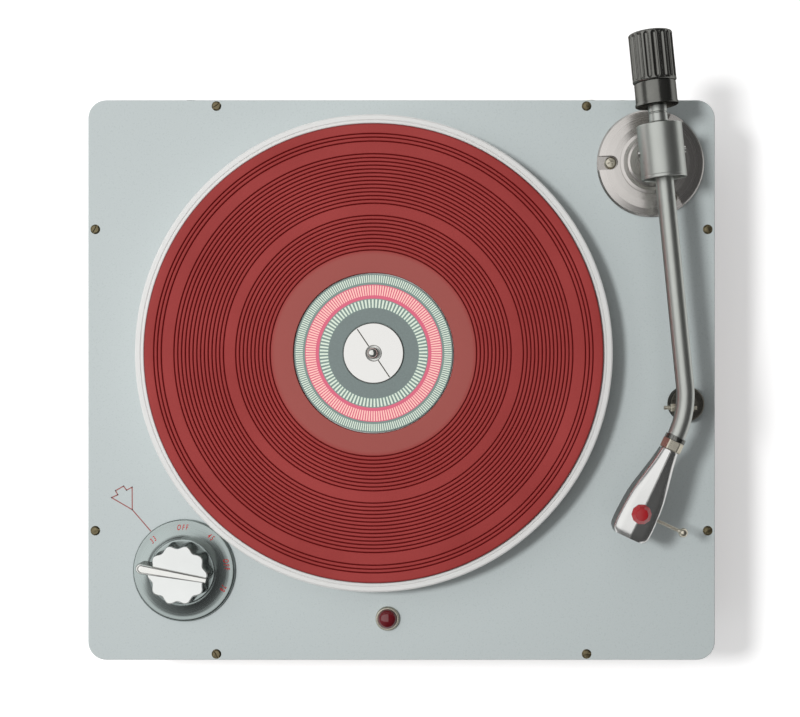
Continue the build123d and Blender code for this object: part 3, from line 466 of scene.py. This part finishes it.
RIM_TOP = bottom_of("platter_mat")
MAT_TOP = top_of("platter_mat")
RIM_R = radius_of("platter")
MAT_R = radius_of("platter_mat")
DISC_R = radius_of("strobe_disc")
HUB_R = radius_of("hub_45")
DISC_TOP = top_of("strobe_disc") - 0.5
DISC_SEAT = bottom_of("strobe_disc")
HUB_FLOOR = bottom_of("hub_45")
PLATTER_LOW = bottom_of("platter")
GROOVES = (
    [65.6 + 2.433 * i for i in range(10)]
    + [95.3 + 2.417 * i for i in range(14)]
    + [134.8, 137.3, 139.6]
)

BOSS_R = 27
WALL_IN = RIM_R - 12.4
WELL = HUB_FLOOR - 0.3
FACE = RIM_TOP + 0.3
web = PLATTER_LOW + 16
rim_line = MAT_R + 2.4
platter_profile = [
    (6, PLATTER_LOW + 4),
    (BOSS_R, PLATTER_LOW + 4),
    (BOSS_R, web),
    (WALL_IN, web),
    (WALL_IN, PLATTER_LOW),
    (RIM_R, PLATTER_LOW),
    (RIM_R, RIM_TOP - 0.2),
    (RIM_R - 0.8, FACE),
    (rim_line + 0.25, FACE),
    (rim_line, RIM_TOP - 0.2),
    (rim_line - 0.25, FACE),
    (MAT_R + 0.6, FACE),
    (MAT_R + 0.4, RIM_TOP),
    (DISC_R + 0.1, RIM_TOP),
    (DISC_R + 0.1, DISC_SEAT),
    (HUB_R + 0.3, DISC_SEAT),
    (HUB_R + 0.3, WELL),
    (6, WELL),
]
piece("platter_casting", lathe(eased(platter_profile, 0.3, 3)), PLATTER, "platter_aluminium", "platter")

# Half width and depth across one groove, from its inner lip to its outer one
GROOVE_LIP = [(0.8, 0), (0.45, 0.1), (0.26, 0.5)]
GROOVE_SECTION = [(-half, drop) for half, drop in GROOVE_LIP] + [(0, 0.8)] + GROOVE_LIP[::-1]
ribs = []
for groove in GROOVES:
    for step, drop in GROOVE_SECTION:
        ribs.append((groove + step, MAT_TOP - drop))
mat_profile = (
    [(DISC_R + 0.7, RIM_TOP), (DISC_R + 0.7, MAT_TOP - 0.5), (DISC_R + 1.2, MAT_TOP)]
    + ribs
    + [(MAT_R - 1.4, MAT_TOP), (MAT_R - 0.5, MAT_TOP - 0.3), (MAT_R, MAT_TOP - 1.2), (MAT_R, RIM_TOP)]
)
piece("ribbed_mat", lathe(mat_profile), PLATTER, "red_rubber", "platter_mat", crease=60)

disc_profile = [
    (HUB_R + 0.3, DISC_SEAT),
    (DISC_R, DISC_SEAT),
    (DISC_R, DISC_TOP),
    (HUB_R + 0.9, DISC_TOP),
]
piece("speed_rings", lathe(eased(disc_profile, 0.15, 3)), PLATTER, "strobe_print", "strobe_disc")

SPINDLE_TOP = top_of("spindle")
ROOT_TOP = top_of("hub_45")
spindle_profile = (
    [(0, bottom_of("spindle")), (4.9, bottom_of("spindle")), (5.9, bottom_of("spindle") + 1)]
    + [(5.9, HUB_FLOOR), (3.6, HUB_FLOOR), (3.6, SPINDLE_TOP - 3.4)]
    + arc((0.6, SPINDLE_TOP - 3), 3, 0, 90, 8)
    + [(0, SPINDLE_TOP)]
)
piece("record_spindle", lathe(spindle_profile, 96), PLATTER, "polished_steel", "spindle")

# ---------------------------------------------------------------- centre hub

HOLE_R = 4.9
hub_profile = [(HOLE_R, HUB_FLOOR), (HUB_R, HUB_FLOOR), (HUB_R, ROOT_TOP), (HOLE_R, ROOT_TOP)]
piece("adapter_hub", lathe(eased(hub_profile, 0.45)), PLATTER, "hub_chrome", "hub_45")

GROOVE_WAY = radians(-56)
GROOVE_HALF = 0.35
# Painted shade: a dark strip laid just proud of the hub top stands for the shaded slot across the hub
groove_shade_mesh = bmesh.new()
for near, far in ((HOLE_R + 0.3, HUB_R - 0.6), (-HUB_R + 0.6, -HOLE_R - 0.3)):
    corners = ((near, -GROOVE_HALF), (far, -GROOVE_HALF), (far, GROOVE_HALF), (near, GROOVE_HALF))
    lower = [groove_shade_mesh.verts.new((x, y, ROOT_TOP - 0.05)) for x, y in corners]
    upper = [groove_shade_mesh.verts.new((x, y, ROOT_TOP + 0.03)) for x, y in corners]
    groove_shade_mesh.faces.new(lower)
    groove_shade_mesh.faces.new(upper)
    for i in range(4):
        j = (i + 1) % 4
        groove_shade_mesh.faces.new((lower[i], lower[j], upper[j], upper[i]))
groove_shade_place = PLATTER @ Matrix.Rotation(GROOVE_WAY, 4, "Z")
extra("adapter_groove", groove_shade_mesh, groove_shade_place, "hub_chrome", "hub_45", finish="dark_knurl")

# ---------------------------------------------------------------- speed selector

DIAL_LOW = bottom_of("selector_dial")
DIAL_R = radius_of("selector_dial")
KNOB_LOW = bottom_of("knob_body")
KNOB_TOP = top_of("knob_body")
BAR_TOP = top_of("knob_pointer")
FLUTES = 10
FLUTE_DEPTH = 2.2
# Radius and height along the dial's dished face
DIAL_SLOPE = [(32.6, 107.8), (30, 107.95), (28, 108.3), (26, 108.8), (24, 109.5), (22.3, 110.5)]
DIAL_SLOPE.append((20.8, KNOB_LOW))


def dial_height(radius):
    """Height of the dial's sloping face at a radius."""
    for (outer, low), (inner, high) in zip(DIAL_SLOPE, DIAL_SLOPE[1:]):
        if inner <= radius <= outer:
            return low + (high - low) * (outer - radius) / (outer - inner)
    return DIAL_SLOPE[0][1] if radius > DIAL_SLOPE[0][0] else DIAL_SLOPE[-1][1]


dial_profile = (
    [(0, DIAL_LOW), (DIAL_R - 1.5, DIAL_LOW), (DIAL_R, DIAL_LOW + 0.4), (DIAL_R, DIAL_LOW + 1.1)]
    + DIAL_SLOPE
    + [(18, KNOB_LOW), (0, KNOB_LOW)]
)
piece("dial_skirt", lathe(eased(dial_profile, 0.7, 4)), SELECTOR, "dial_metal", "selector_dial")


def flute(angle, height):
    """Scallops round the selector knob."""
    return FLUTE_DEPTH * (0.5 - 0.5 * cos(FLUTES * angle))


knob_profile = [(0, KNOB_LOW), (20.4, KNOB_LOW), (19.2, KNOB_TOP), (0, KNOB_TOP)]
piece("scalloped_knob", lathe(eased(knob_profile, 0.7, 4), 320, flute), SELECTOR, "knob_metal", "knob_body",
      crease=50)

BAR_ANGLE = radians(170)
BAR_END = 24.0
BAR_TAIL = 18.7
BAR_HALF = 3.4
TAIL_HALF = 1.9


def bar_ring(height, squeeze, draw_in):
    """Outline of the pointer bar, narrowed and drawn back at its round end."""
    half = BAR_HALF * (1 - squeeze)
    tail = TAIL_HALF * (1 - squeeze)
    end = BAR_END - draw_in
    turn_angles = [radians(-90 + 180 * i / 16) for i in range(17)]
    points = [(end + half * cos(a), half * sin(a), height) for a in turn_angles]
    return [(-BAR_TAIL, -tail, height)] + points + [(-BAR_TAIL, tail, height)]


bar_levels = ((BAR_TOP - 14, 0, 0), (BAR_TOP - 3.2, 0, 0), (BAR_TOP - 1.6, 0.06, 0.4))
bar_levels += ((BAR_TOP - 0.7, 0.18, 0.9), (BAR_TOP - 0.15, 0.36, 1.4), (BAR_TOP, 0.5, 1.8))
bar_mesh = shell([bar_ring(*step) for step in bar_levels], closed=False)
bar_mesh.verts.ensure_lookup_table()
ring_size = len(bar_ring(0, 0, 0))
bar_mesh.faces.new(bar_mesh.verts[:ring_size])
bar_mesh.faces.new(bar_mesh.verts[-ring_size:])
piece("pointer_bar", bar_mesh, SELECTOR @ Matrix.Rotation(BAR_ANGLE, 4, "Z"), "knob_bright", "knob_pointer")


# ---------------------------------------------------------------- pilot lamp

LAMP_TOP = top_of("lamp_jewel")
BEZEL_TOP = top_of("lamp_bezel")
BEZEL_LOW = bottom_of("lamp_bezel")
bezel_profile = [
    (5, BEZEL_LOW),
    (7, BEZEL_LOW),
    (7, DECK_TOP),
    (7.8, DECK_TOP),
    (7.8, BEZEL_TOP - 0.8),
    (7.2, BEZEL_TOP),
    (6.3, BEZEL_TOP),
    (6.3, DECK_TOP - 1),
    (5, DECK_TOP - 1),
]
piece("lamp_ring", lathe(eased(bezel_profile, 0.35, 4), 96), LAMP, "nickel", "lamp_bezel")
jewel_profile = [(0, DECK_TOP - 1), (6.25, DECK_TOP - 1), (6.25, BEZEL_TOP)]
jewel_profile += [
    (6.25 * cos(radians(a)), BEZEL_TOP + (LAMP_TOP - BEZEL_TOP) * sin(radians(a)))
    for a in range(10, 90, 10)
]
piece("lamp_dome", lathe(jewel_profile + [(0, LAMP_TOP)], 96), LAMP, "ruby_glass", "lamp_jewel", crease=50)


# ---------------------------------------------------------------- arm

ARM_H = KNOB_SPOT.z / MM
BARREL_R = 14.0
BARREL_BORE = 12.4
BARREL_HALF = 16.75
TUBE_R = 5.65
TUBE_BORE = 4.65
TUBE_BACK = 8.0
BEND_R = 60.0
NUT_L = 10.0

barrel = [
    (BARREL_BORE, -BARREL_HALF),
    (BARREL_R, -BARREL_HALF),
    (BARREL_R, BARREL_HALF - 2.2),
    (BARREL_R - 0.15, BARREL_HALF - 2.0),
    (BARREL_R, BARREL_HALF - 1.8),
    (BARREL_R, BARREL_HALF),
    (BARREL_BORE, BARREL_HALF),
]
piece("pivot_barrel", lathe(eased(barrel, 0.45, 4), 192), PIVOT, "arm_aluminium", "pivot_housing")
SADDLE_LOW = bottom_of("pivot_housing")
saddle = [(4, SADDLE_LOW), (8.5, SADDLE_LOW), (8.5, ARM_H - 11.4), (4, ARM_H - 12.4)]
extra("barrel_saddle", lathe(eased(saddle, 0.4, 3), 96), ARM_BASE, "arm_aluminium", "pivot_housing")

turn_angle = ARM_AHEAD.angle(HEAD_AHEAD)
tube_end = PIVOT.inverted() @ (HEAD.translation - HEAD_AHEAD * NUT_L * MM)
straight = tube_end.z / MM - BEND_R * sin(turn_angle)


def tube_ring(radius, along):
    """Ring of the arm tube at a distance from the pivot, round the bend's own axis."""
    past = max(0.0, along - straight) / BEND_R
    centre = Vector((-BEND_R + BEND_R * cos(past), 0, min(along, straight) + BEND_R * sin(past)))
    side = Vector((cos(past), 0, sin(past)))
    ring = [2 * pi * i / 64 for i in range(64)]
    return [centre + side * radius * cos(a) + Vector((0, radius * sin(a), 0)) for a in ring]


bend_length = BEND_R * turn_angle
stations = [-TUBE_BACK, -TUBE_BACK + 0.3, straight * 0.25, straight * 0.5, straight * 0.75]
stations += [straight + bend_length * i / 28 for i in range(29)]
tube_rings = [tube_ring(TUBE_BORE, s) for s in reversed(stations)]
tube_rings += [tube_ring(TUBE_R, s) for s in stations]
piece("bent_tube", shell(tube_rings, closed=True), PIVOT, "arm_aluminium", "arm_tube")

WEIGHT_NEAR, WEIGHT_FAR = 28.3, 73.8
stub = [(0, -62), (5.75, -62), (5.75, -24.6), (5.3, -24.4), (5.3, -23.8), (5.75, -23.6)]
stub += [(5.75, -18.6), (5.2, -18.4), (5.2, -17.9), (5.75, -17.7), (5.75, -TUBE_BACK), (4.6, -TUBE_BACK)]
stub += [(4.6, 4), (0, 4)]
piece("weight_stub", lathe(eased(stub, 0.2, 3), 96), PIVOT, "arm_aluminium", "arm_stub")

WEIGHT_R = 13.6
WEIGHT_FLUTED = 43.0
WEIGHT_FLUTES = 18
FLUTE_REACH = 1.9
FLUTE_CENTRE = 14.5


def weight_cut(angle, along):
    """Round-ended flutes along the back of the counterweight."""
    pitch = 2 * pi / WEIGHT_FLUTES
    sideways = (angle % pitch - pitch / 2) * WEIGHT_R
    past = max(0.0, along + WEIGHT_FLUTED + 2.8) + max(0.0, -along - WEIGHT_FAR + 3)
    inside = FLUTE_REACH ** 2 - sideways ** 2 - past ** 2
    if along > -WEIGHT_FLUTED or inside <= 0:
        return 0.0
    return max(0.0, sqrt(inside) - (FLUTE_CENTRE - WEIGHT_R))


fluted_rows = [WEIGHT_FLUTED + 0.9 + 0.35 * i for i in range(12)]
fluted_rows += [48.0 + 2.6 * i for i in range(9)] + [WEIGHT_FAR - 3 + 0.4 * i for i in range(6)]
weight = [
    (5.8, -WEIGHT_NEAR),
    (12.6, -WEIGHT_NEAR),
    (13.4, -WEIGHT_NEAR - 0.5),
    (13.4, -WEIGHT_NEAR - 1.7),
    (12.9, -WEIGHT_NEAR - 2.6),
    (12.9, -WEIGHT_FLUTED + 1.0),
    (12.5, -WEIGHT_FLUTED + 0.1),
    (12.9, -WEIGHT_FLUTED - 0.1),
    (WEIGHT_R - 0.2, -WEIGHT_FLUTED - 0.5),
]
weight += [(WEIGHT_R, -row) for row in fluted_rows]
weight += [(WEIGHT_R - 0.4, -WEIGHT_FAR + 0.4), (WEIGHT_R - 1.2, -WEIGHT_FAR), (10, -WEIGHT_FAR)]
weight += [(10, -46), (5.8, -46)]
piece("fluted_weight", lathe(weight, 18 * 24, weight_cut), PIVOT, "dark_chrome", "counterweight", crease=40)


# ---------------------------------------------------------------- head

def notched(angle, along):
    """Notches round the collar's rear ring; the six flats are cut by six_flats."""
    if along < -NUT_L + 3.4:
        sideways = (angle % (pi / 6) - pi / 12) * 6.5
        return 0.45 if abs(sideways) < 0.75 else 0.0
    return 0.0


def six_flats(angle, along):
    corner, flat = 6.75, 5.9
    return corner - min(corner, flat / cos(angle % (pi / 3) - pi / 6) + 0.12)


ring_profile = [(5.25, -NUT_L + 0.3), (6.5, -NUT_L + 0.3), (6.5, -NUT_L + 3.2), (5.25, -NUT_L + 3.2)]
nut_profile = [(5.25, -NUT_L + 3.2), (6.75, -NUT_L + 3.2), (6.75, -0.9), (6.2, -0.3), (5.25, -0.3)]
collar_mesh = lathe(eased(ring_profile, 0.25, 3), 240, notched)
piece("collar_ring", collar_mesh, HEAD, "nickel", "collar_nut", finish="dark_chrome", crease=30)
nut_mesh = lathe(eased(nut_profile, 0.3, 3), 240, six_flats)
extra("collar_flats", nut_mesh, HEAD, "nickel", "collar_nut", crease=25)

# Distance along the head, half width, ridge height, eaves height, bottom edge
SECTIONS = [
    (0, 5.8, 5.8, 1.5, -5.6),
    (9, 7.0, 6.1, 2.0, -7.4),
    (20, 9.0, 6.2, 2.3, -10.2),
    (32, 11.0, 6.1, 2.4, -13.2),
    (43, 11.8, 5.9, 2.3, -14.0),
    (52, 12.0, 5.3, 1.8, -14.0),
    (57, 11.4, 4.5, 1.2, -13.8),
    (59.5, 9.4, 3.6, 0.6, -13.4),
]


def section_at(along):
    """Section of the head at a distance, on a smooth curve through the given ones."""
    last = len(SECTIONS) - 1
    i = max(k for k in range(last) if SECTIONS[k][0] <= along)
    here, after = SECTIONS[i], SECTIONS[i + 1]
    span = after[0] - here[0]
    t = (along - here[0]) / span
    values = []
    for k in range(1, 5):
        before, beyond = SECTIONS[max(0, i - 1)], SECTIONS[min(last, i + 2)]
        slope_in = (after[k] - before[k]) / (after[0] - before[0]) * span
        slope_out = (beyond[k] - here[k]) / (beyond[0] - here[0]) * span
        value = here[k] * (2 * t ** 3 - 3 * t ** 2 + 1) + slope_in * (t ** 3 - 2 * t ** 2 + t)
        value += after[k] * (3 * t ** 2 - 2 * t ** 3) + slope_out * (t ** 3 - t ** 2)
        values.append(value)
    return values


def head_outline(along):
    """Open outline of the shell from one lower edge over the ridge to the other."""
    half, ridge, eaves, bottom = section_at(along)
    shoulder = Vector((0.66 * half, eaves + 0.62 * (ridge - eaves)))
    corner = Vector((half, eaves))
    crown, foot = Vector((0.3, ridge)), Vector((half, bottom))
    right = [Vector((0, ridge - 0.5)), Vector((0.16, ridge - 0.1)), crown]
    for before, here, after, ease in ((crown, shoulder, corner, 1.3), (shoulder, corner, foot, 1.6)):
        start = here + (before - here).normalized() * min(ease, 0.4 * (before - here).length)
        end = here + (after - here).normalized() * min(ease, 0.4 * (after - here).length)
        right += [start * (1 - t) ** 2 + here * 2 * t * (1 - t) + end * t * t for t in (0, 0.33, 0.67, 1)]
    right.append(foot)
    left = [Vector((-p.x, p.y)) for p in reversed(right[1:])]
    return [(p.x, p.y, along) for p in left + right]


HEAD_LENGTH = SECTIONS[-1][0]
head_mesh = bmesh.new()
NOSE = HEAD_LENGTH - 0.01
stops = [HEAD_LENGTH * i / 48 for i in range(44)]
stops += [NOSE - 0.7 * i for i in (6, 4.5, 3, 2, 1, 0)]
rows = [[head_mesh.verts.new(p) for p in head_outline(stop)] for stop in stops]
for row, after in zip(rows, rows[1:]):
    for i in range(len(row) - 1):
        head_mesh.faces.new((row[i], row[i + 1], after[i + 1], after[i]))
head_mesh.faces.new(rows[0])
head_mesh.faces.new(rows[-1])
head_shell = piece("head_cover", head_mesh, HEAD, "head_polish", "headshell", crease=28)
thick = head_shell.modifiers.new("wall", "SOLIDIFY")
thick.thickness = 1.2 * MM
thick.offset = -1
thick.use_even_offset = True
neck = [(0, 0.5), (5.2, 0.5), (5.2, -NUT_L), (4.2, -NUT_L), (4.2, -NUT_L - 6), (0, -NUT_L - 6)]
extra("head_neck", lathe(eased(neck, 0.3, 3), 96), HEAD, "head_polish", "headshell")

SEAT = bottom_of("stylus_knob") + 1
STYLUS_TOP = top_of("stylus_knob")
gem = [(0, SEAT - 1), (1.5, SEAT - 1), (1.5, SEAT), (6.0, SEAT), (6.25, SEAT + 0.3), (6.25, SEAT + 1.3)]
gem += [(4.1, STYLUS_TOP - 0.5), (3.7, STYLUS_TOP - 0.2), (0, STYLUS_TOP)]
piece("turnover_knob", lathe(gem, 10), STYLUS, "red_plastic", "stylus_knob", crease=16)

LIFT_H = middle("finger_lift").z / MM
FINGER = axes((KNOB_SPOT.x, KNOB_SPOT.y, LIFT_H * MM), HEAD.to_3x3() @ Vector((1, 0, 0)), HEAD_AHEAD)
BALL_R = 2.9
BALL_AT = 30.6
ROD_R = 1.0
meet = sqrt(BALL_R ** 2 - ROD_R ** 2)
lift = [(0, 9.5), (ROD_R, 9.5), (ROD_R, BALL_AT - meet - 1.2), (ROD_R + 0.25, BALL_AT - meet)]
lift += arc((0, BALL_AT), BALL_R, -90 + 30, 84, 14) + [(0, BALL_AT + BALL_R)]
piece("lift_pin", lathe(lift, 64), FINGER, "nickel", "finger_lift")


# ---------------------------------------------------------------- arm rest

REST_R = radius_of("rest_post")
REST_LOW = bottom_of("rest_post")
REST_TOP = top_of("rest_post")


def knurl(angle, height):
    """Straight knurling round the rest's collar."""
    if not DECK_TOP + 1 < height < DECK_TOP + 8.6:
        return 0.0
    return 0.45 * (0.5 - 0.5 * cos(36 * angle)) ** 2


rest = [
    (0, REST_LOW),
    (3, REST_LOW),
    (3, DECK_TOP),
    (REST_R, DECK_TOP),
    (REST_R, DECK_TOP + 0.9),
    (REST_R, DECK_TOP + 1.3),
    (REST_R, DECK_TOP + 8.3),
    (REST_R, DECK_TOP + 8.8),
    (REST_R - 1, DECK_TOP + 10),
    (7.6, DECK_TOP + 10),
    (7.6, DECK_TOP + 11.5),
    (5.2, DECK_TOP + 11.5),
    (5.2, DECK_TOP + 10.5),
    (3.6, DECK_TOP + 10.5),
    (3.6, REST_TOP),
    (0, REST_TOP),
]
piece("knurled_rest", lathe(eased(rest, 0.3, 3), 36 * 10, knurl), REST, "dark_knurl", "rest_post", crease=40)


# ---------------------------------------------------------------- marks

DIAL_MARKS = ((134.5, "33"), (91, "OFF"), (51, "45"), (8, "OFF"), (-24, "78"))
MARK_R = 28.4
MARK_H = 3.6
MARK_RISE = 0.05


def lettering(text, height):
    """Mesh of condensed slanted lettering in mm, centred on its own middle."""
    curve = bpy.data.curves.new("mark", "FONT")
    curve.body = text
    curve.size = height * 1.37
    curve.shear = 0.25
    curve.space_character = 1.6
    curve.offset = 0.06
    curve.extrude = 0.03
    holder = bpy.data.objects.new("mark", curve)
    mesh = bmesh.new()
    mesh.from_mesh(bpy.data.meshes.new_from_object(holder))
    bpy.data.objects.remove(holder)
    bmesh.ops.remove_doubles(mesh, verts=mesh.verts, dist=0.001)
    for axis, squeeze in ((0, 0.62), (1, 1.0)):
        values = [v.co[axis] for v in mesh.verts]
        centre = (min(values) + max(values)) / 2
        for vert in mesh.verts:
            vert.co[axis] = (vert.co[axis] - centre) * squeeze
    return mesh


for count, (angle, text) in enumerate(DIAL_MARKS):
    mark = lettering(text, MARK_H)
    across = Vector((sin(radians(angle)), -cos(radians(angle)), 0))
    outward = Vector((cos(radians(angle)), sin(radians(angle)), 0))
    for vert in mark.verts:
        spread = across * vert.co.x + outward * (MARK_R + vert.co.y)
        rise = dial_height(hypot(spread.x, spread.y)) + MARK_RISE + vert.co.z
        vert.co = (spread.x, spread.y, rise)
    extra(f"dial_mark_{count}", mark, SELECTOR, "dial_metal", "selector_dial", finish="dial_print")


def ribbon(points, width, rise):
    """Painted line through points, as a low raised band with square ends."""
    mesh = bmesh.new()
    for start, end in zip(points, points[1:]):
        along = (Vector(end) - Vector(start)).normalized() * width / 2
        side = Vector((-along.y, along.x))
        low, high = Vector(start) - along, Vector(end) + along
        flat = [low - side, high - side, high + side, low + side]
        lower = [mesh.verts.new((p.x, p.y, -rise)) for p in flat]
        upper = [mesh.verts.new((p.x, p.y, rise)) for p in flat]
        mesh.faces.new(upper)
        mesh.faces.new(lower)
        for i in range(4):
            j = (i + 1) % 4
            mesh.faces.new((lower[i], lower[j], upper[j], upper[i]))
    return mesh


LINE_W = 0.75
LINE_RISE = 0.03
INDEX = [(-163.6, -100.6), (-176.9, -85.2)]
TAIL = [(-176.9, -85.2), (-190.5, -77.3), (-186.4, -75.4), (-187.9, -72.7), (-182.6, -69.7)]
TAIL += [(-180.7, -72.4), (-177.0, -70.4), (-176.9, -85.2)]
DECK_FACE = DECK @ Matrix.Translation((0, 0, DECK_TOP * MM))
for name, points in (("index_line", INDEX), ("index_tail", TAIL)):
    line = ribbon(points, LINE_W, LINE_RISE)
    extra(name, line, DECK_FACE, "deck_enamel", "deck_plate", finish="deck_print")


# ---------------------------------------------------------------- carried-over nodes

slot_of = {row["node"]: row["material_slot"] for row in frame["record"]["subparts"]}
for name, node in NODES.items():
    node.data.materials.clear()
    node.data.materials.append(MATERIALS[slot_of[name]])
    for polygon in node.data.polygons:
        polygon.material_index = 0


# ---------------------------------------------------------------- studio

def window(tree, value, low, high, soft):
    """One between two limits and nought outside them, with soft edges."""
    rise = ramp(tree, value, low - soft, low + soft, smooth=True)
    fall = ramp(tree, value, high - soft, high + soft, 1.0, 0.0, smooth=True)
    return calc(tree, "MULTIPLY", rise, fall)


def world():
    """Dim sky with one large soft box overhead, a little to the left and the rear."""
    sky = bpy.data.worlds.new("studio")
    sky.use_nodes = True
    tree = sky.node_tree
    tree.nodes.clear()
    output = tree.nodes.new("ShaderNodeOutputWorld")
    backdrop = tree.nodes.new("ShaderNodeBackground")
    tree.links.new(backdrop.outputs[0], output.inputs[0])
    direction = put(tree, "ShaderNodeTexCoord", {}).outputs["Generated"]
    x, y, z = put(tree, "ShaderNodeSeparateXYZ", {0: direction}).outputs
    above = calc(tree, "MAXIMUM", z, 0.02)
    across = window(tree, calc(tree, "DIVIDE", x, above), *BOX_ACROSS, BOX_SOFT)
    along = window(tree, calc(tree, "DIVIDE", y, above), *BOX_ALONG, BOX_SOFT)
    box = calc(tree, "MULTIPLY", calc(tree, "MULTIPLY", across, along), BOX_POWER)
    height = ramp(tree, z, -0.1, 0.9, SKY_LOW, SKY_HIGH)
    left = ramp(tree, x, 0.1, -0.9, 0.0, SKY_LEFT, smooth=True)
    horizon = ramp(tree, z, 0.03, 0.12, HORIZON, 0.0, smooth=True)
    total = calc(tree, "ADD", calc(tree, "ADD", box, height), calc(tree, "ADD", left, horizon))
    join(tree, total, backdrop.inputs["Strength"])
    bpy.context.scene.world = sky


# Edges of the soft box, as slopes from straight up
BOX_ACROSS = (-1.8, 0.14)
BOX_ALONG = (-0.45, 1.3)
BOX_SOFT = 0.07
BOX_POWER = 1.05
SKY_LOW = 0.04
SKY_HIGH = 0.12
SKY_LEFT = 0.25
HORIZON = 0.8
world()

KEY_POWER = 19.0
KEY_SIZE = 0.24
KEY_AT = Vector((-0.55, 0.16, 1.66))
KEY_AIM = Vector((0, 0, 0.1))
key_data = bpy.data.lights.new("key", "AREA")
key_data.shape = "DISK"
key_data.size = KEY_SIZE
key_data.energy = KEY_POWER
key = bpy.data.objects.new("key", key_data)
key.location = KEY_AT
key.rotation_euler = (KEY_AIM - KEY_AT).to_track_quat("-Z", "Y").to_euler()
bpy.context.scene.collection.objects.link(key)
key.visible_glossy = False

FLOOR_HALF = 6.0
FLOOR_TONE = 0.8
FLOOR_GLOW = 0.42
floor_mesh = bpy.data.meshes.new("floor")
floor_corners = [(x * FLOOR_HALF, y * FLOOR_HALF, 0) for x, y in ((-1, -1), (1, -1), (1, 1), (-1, 1))]
floor_mesh.from_pydata(floor_corners, [], [(0, 1, 2, 3)])
floor = bpy.data.objects.new("floor", floor_mesh)
bpy.context.scene.collection.objects.link(floor)
tree, shader = blank("floor", Roughness=0.9, Emission_Strength=FLOOR_GLOW)
shader.inputs["Base Color"].default_value = (FLOOR_TONE, FLOOR_TONE, FLOOR_TONE, 1)
shader.inputs["Emission Color"].default_value = (1, 1, 1, 1)
floor_mesh.materials.append(MATERIALS["floor"])

# The camera looks straight down from a little to the right of the deck's middle
CAMERA_ABOVE_DECK = Vector((0.04107, 0.01413, 0.975))
LENS = 59.58
SHIFT = -0.08
camera_data = bpy.data.cameras.new("camera")
camera_data.lens = LENS
camera_data.sensor_width = 36
camera_data.shift_x = SHIFT
camera_data.clip_start = 0.01
camera = bpy.data.objects.new("camera", camera_data)
camera.location = DECK.translation + CAMERA_ABOVE_DECK
bpy.context.scene.collection.objects.link(camera)
bpy.context.scene.camera = camera
bpy.context.scene.view_settings.view_transform = "Standard"
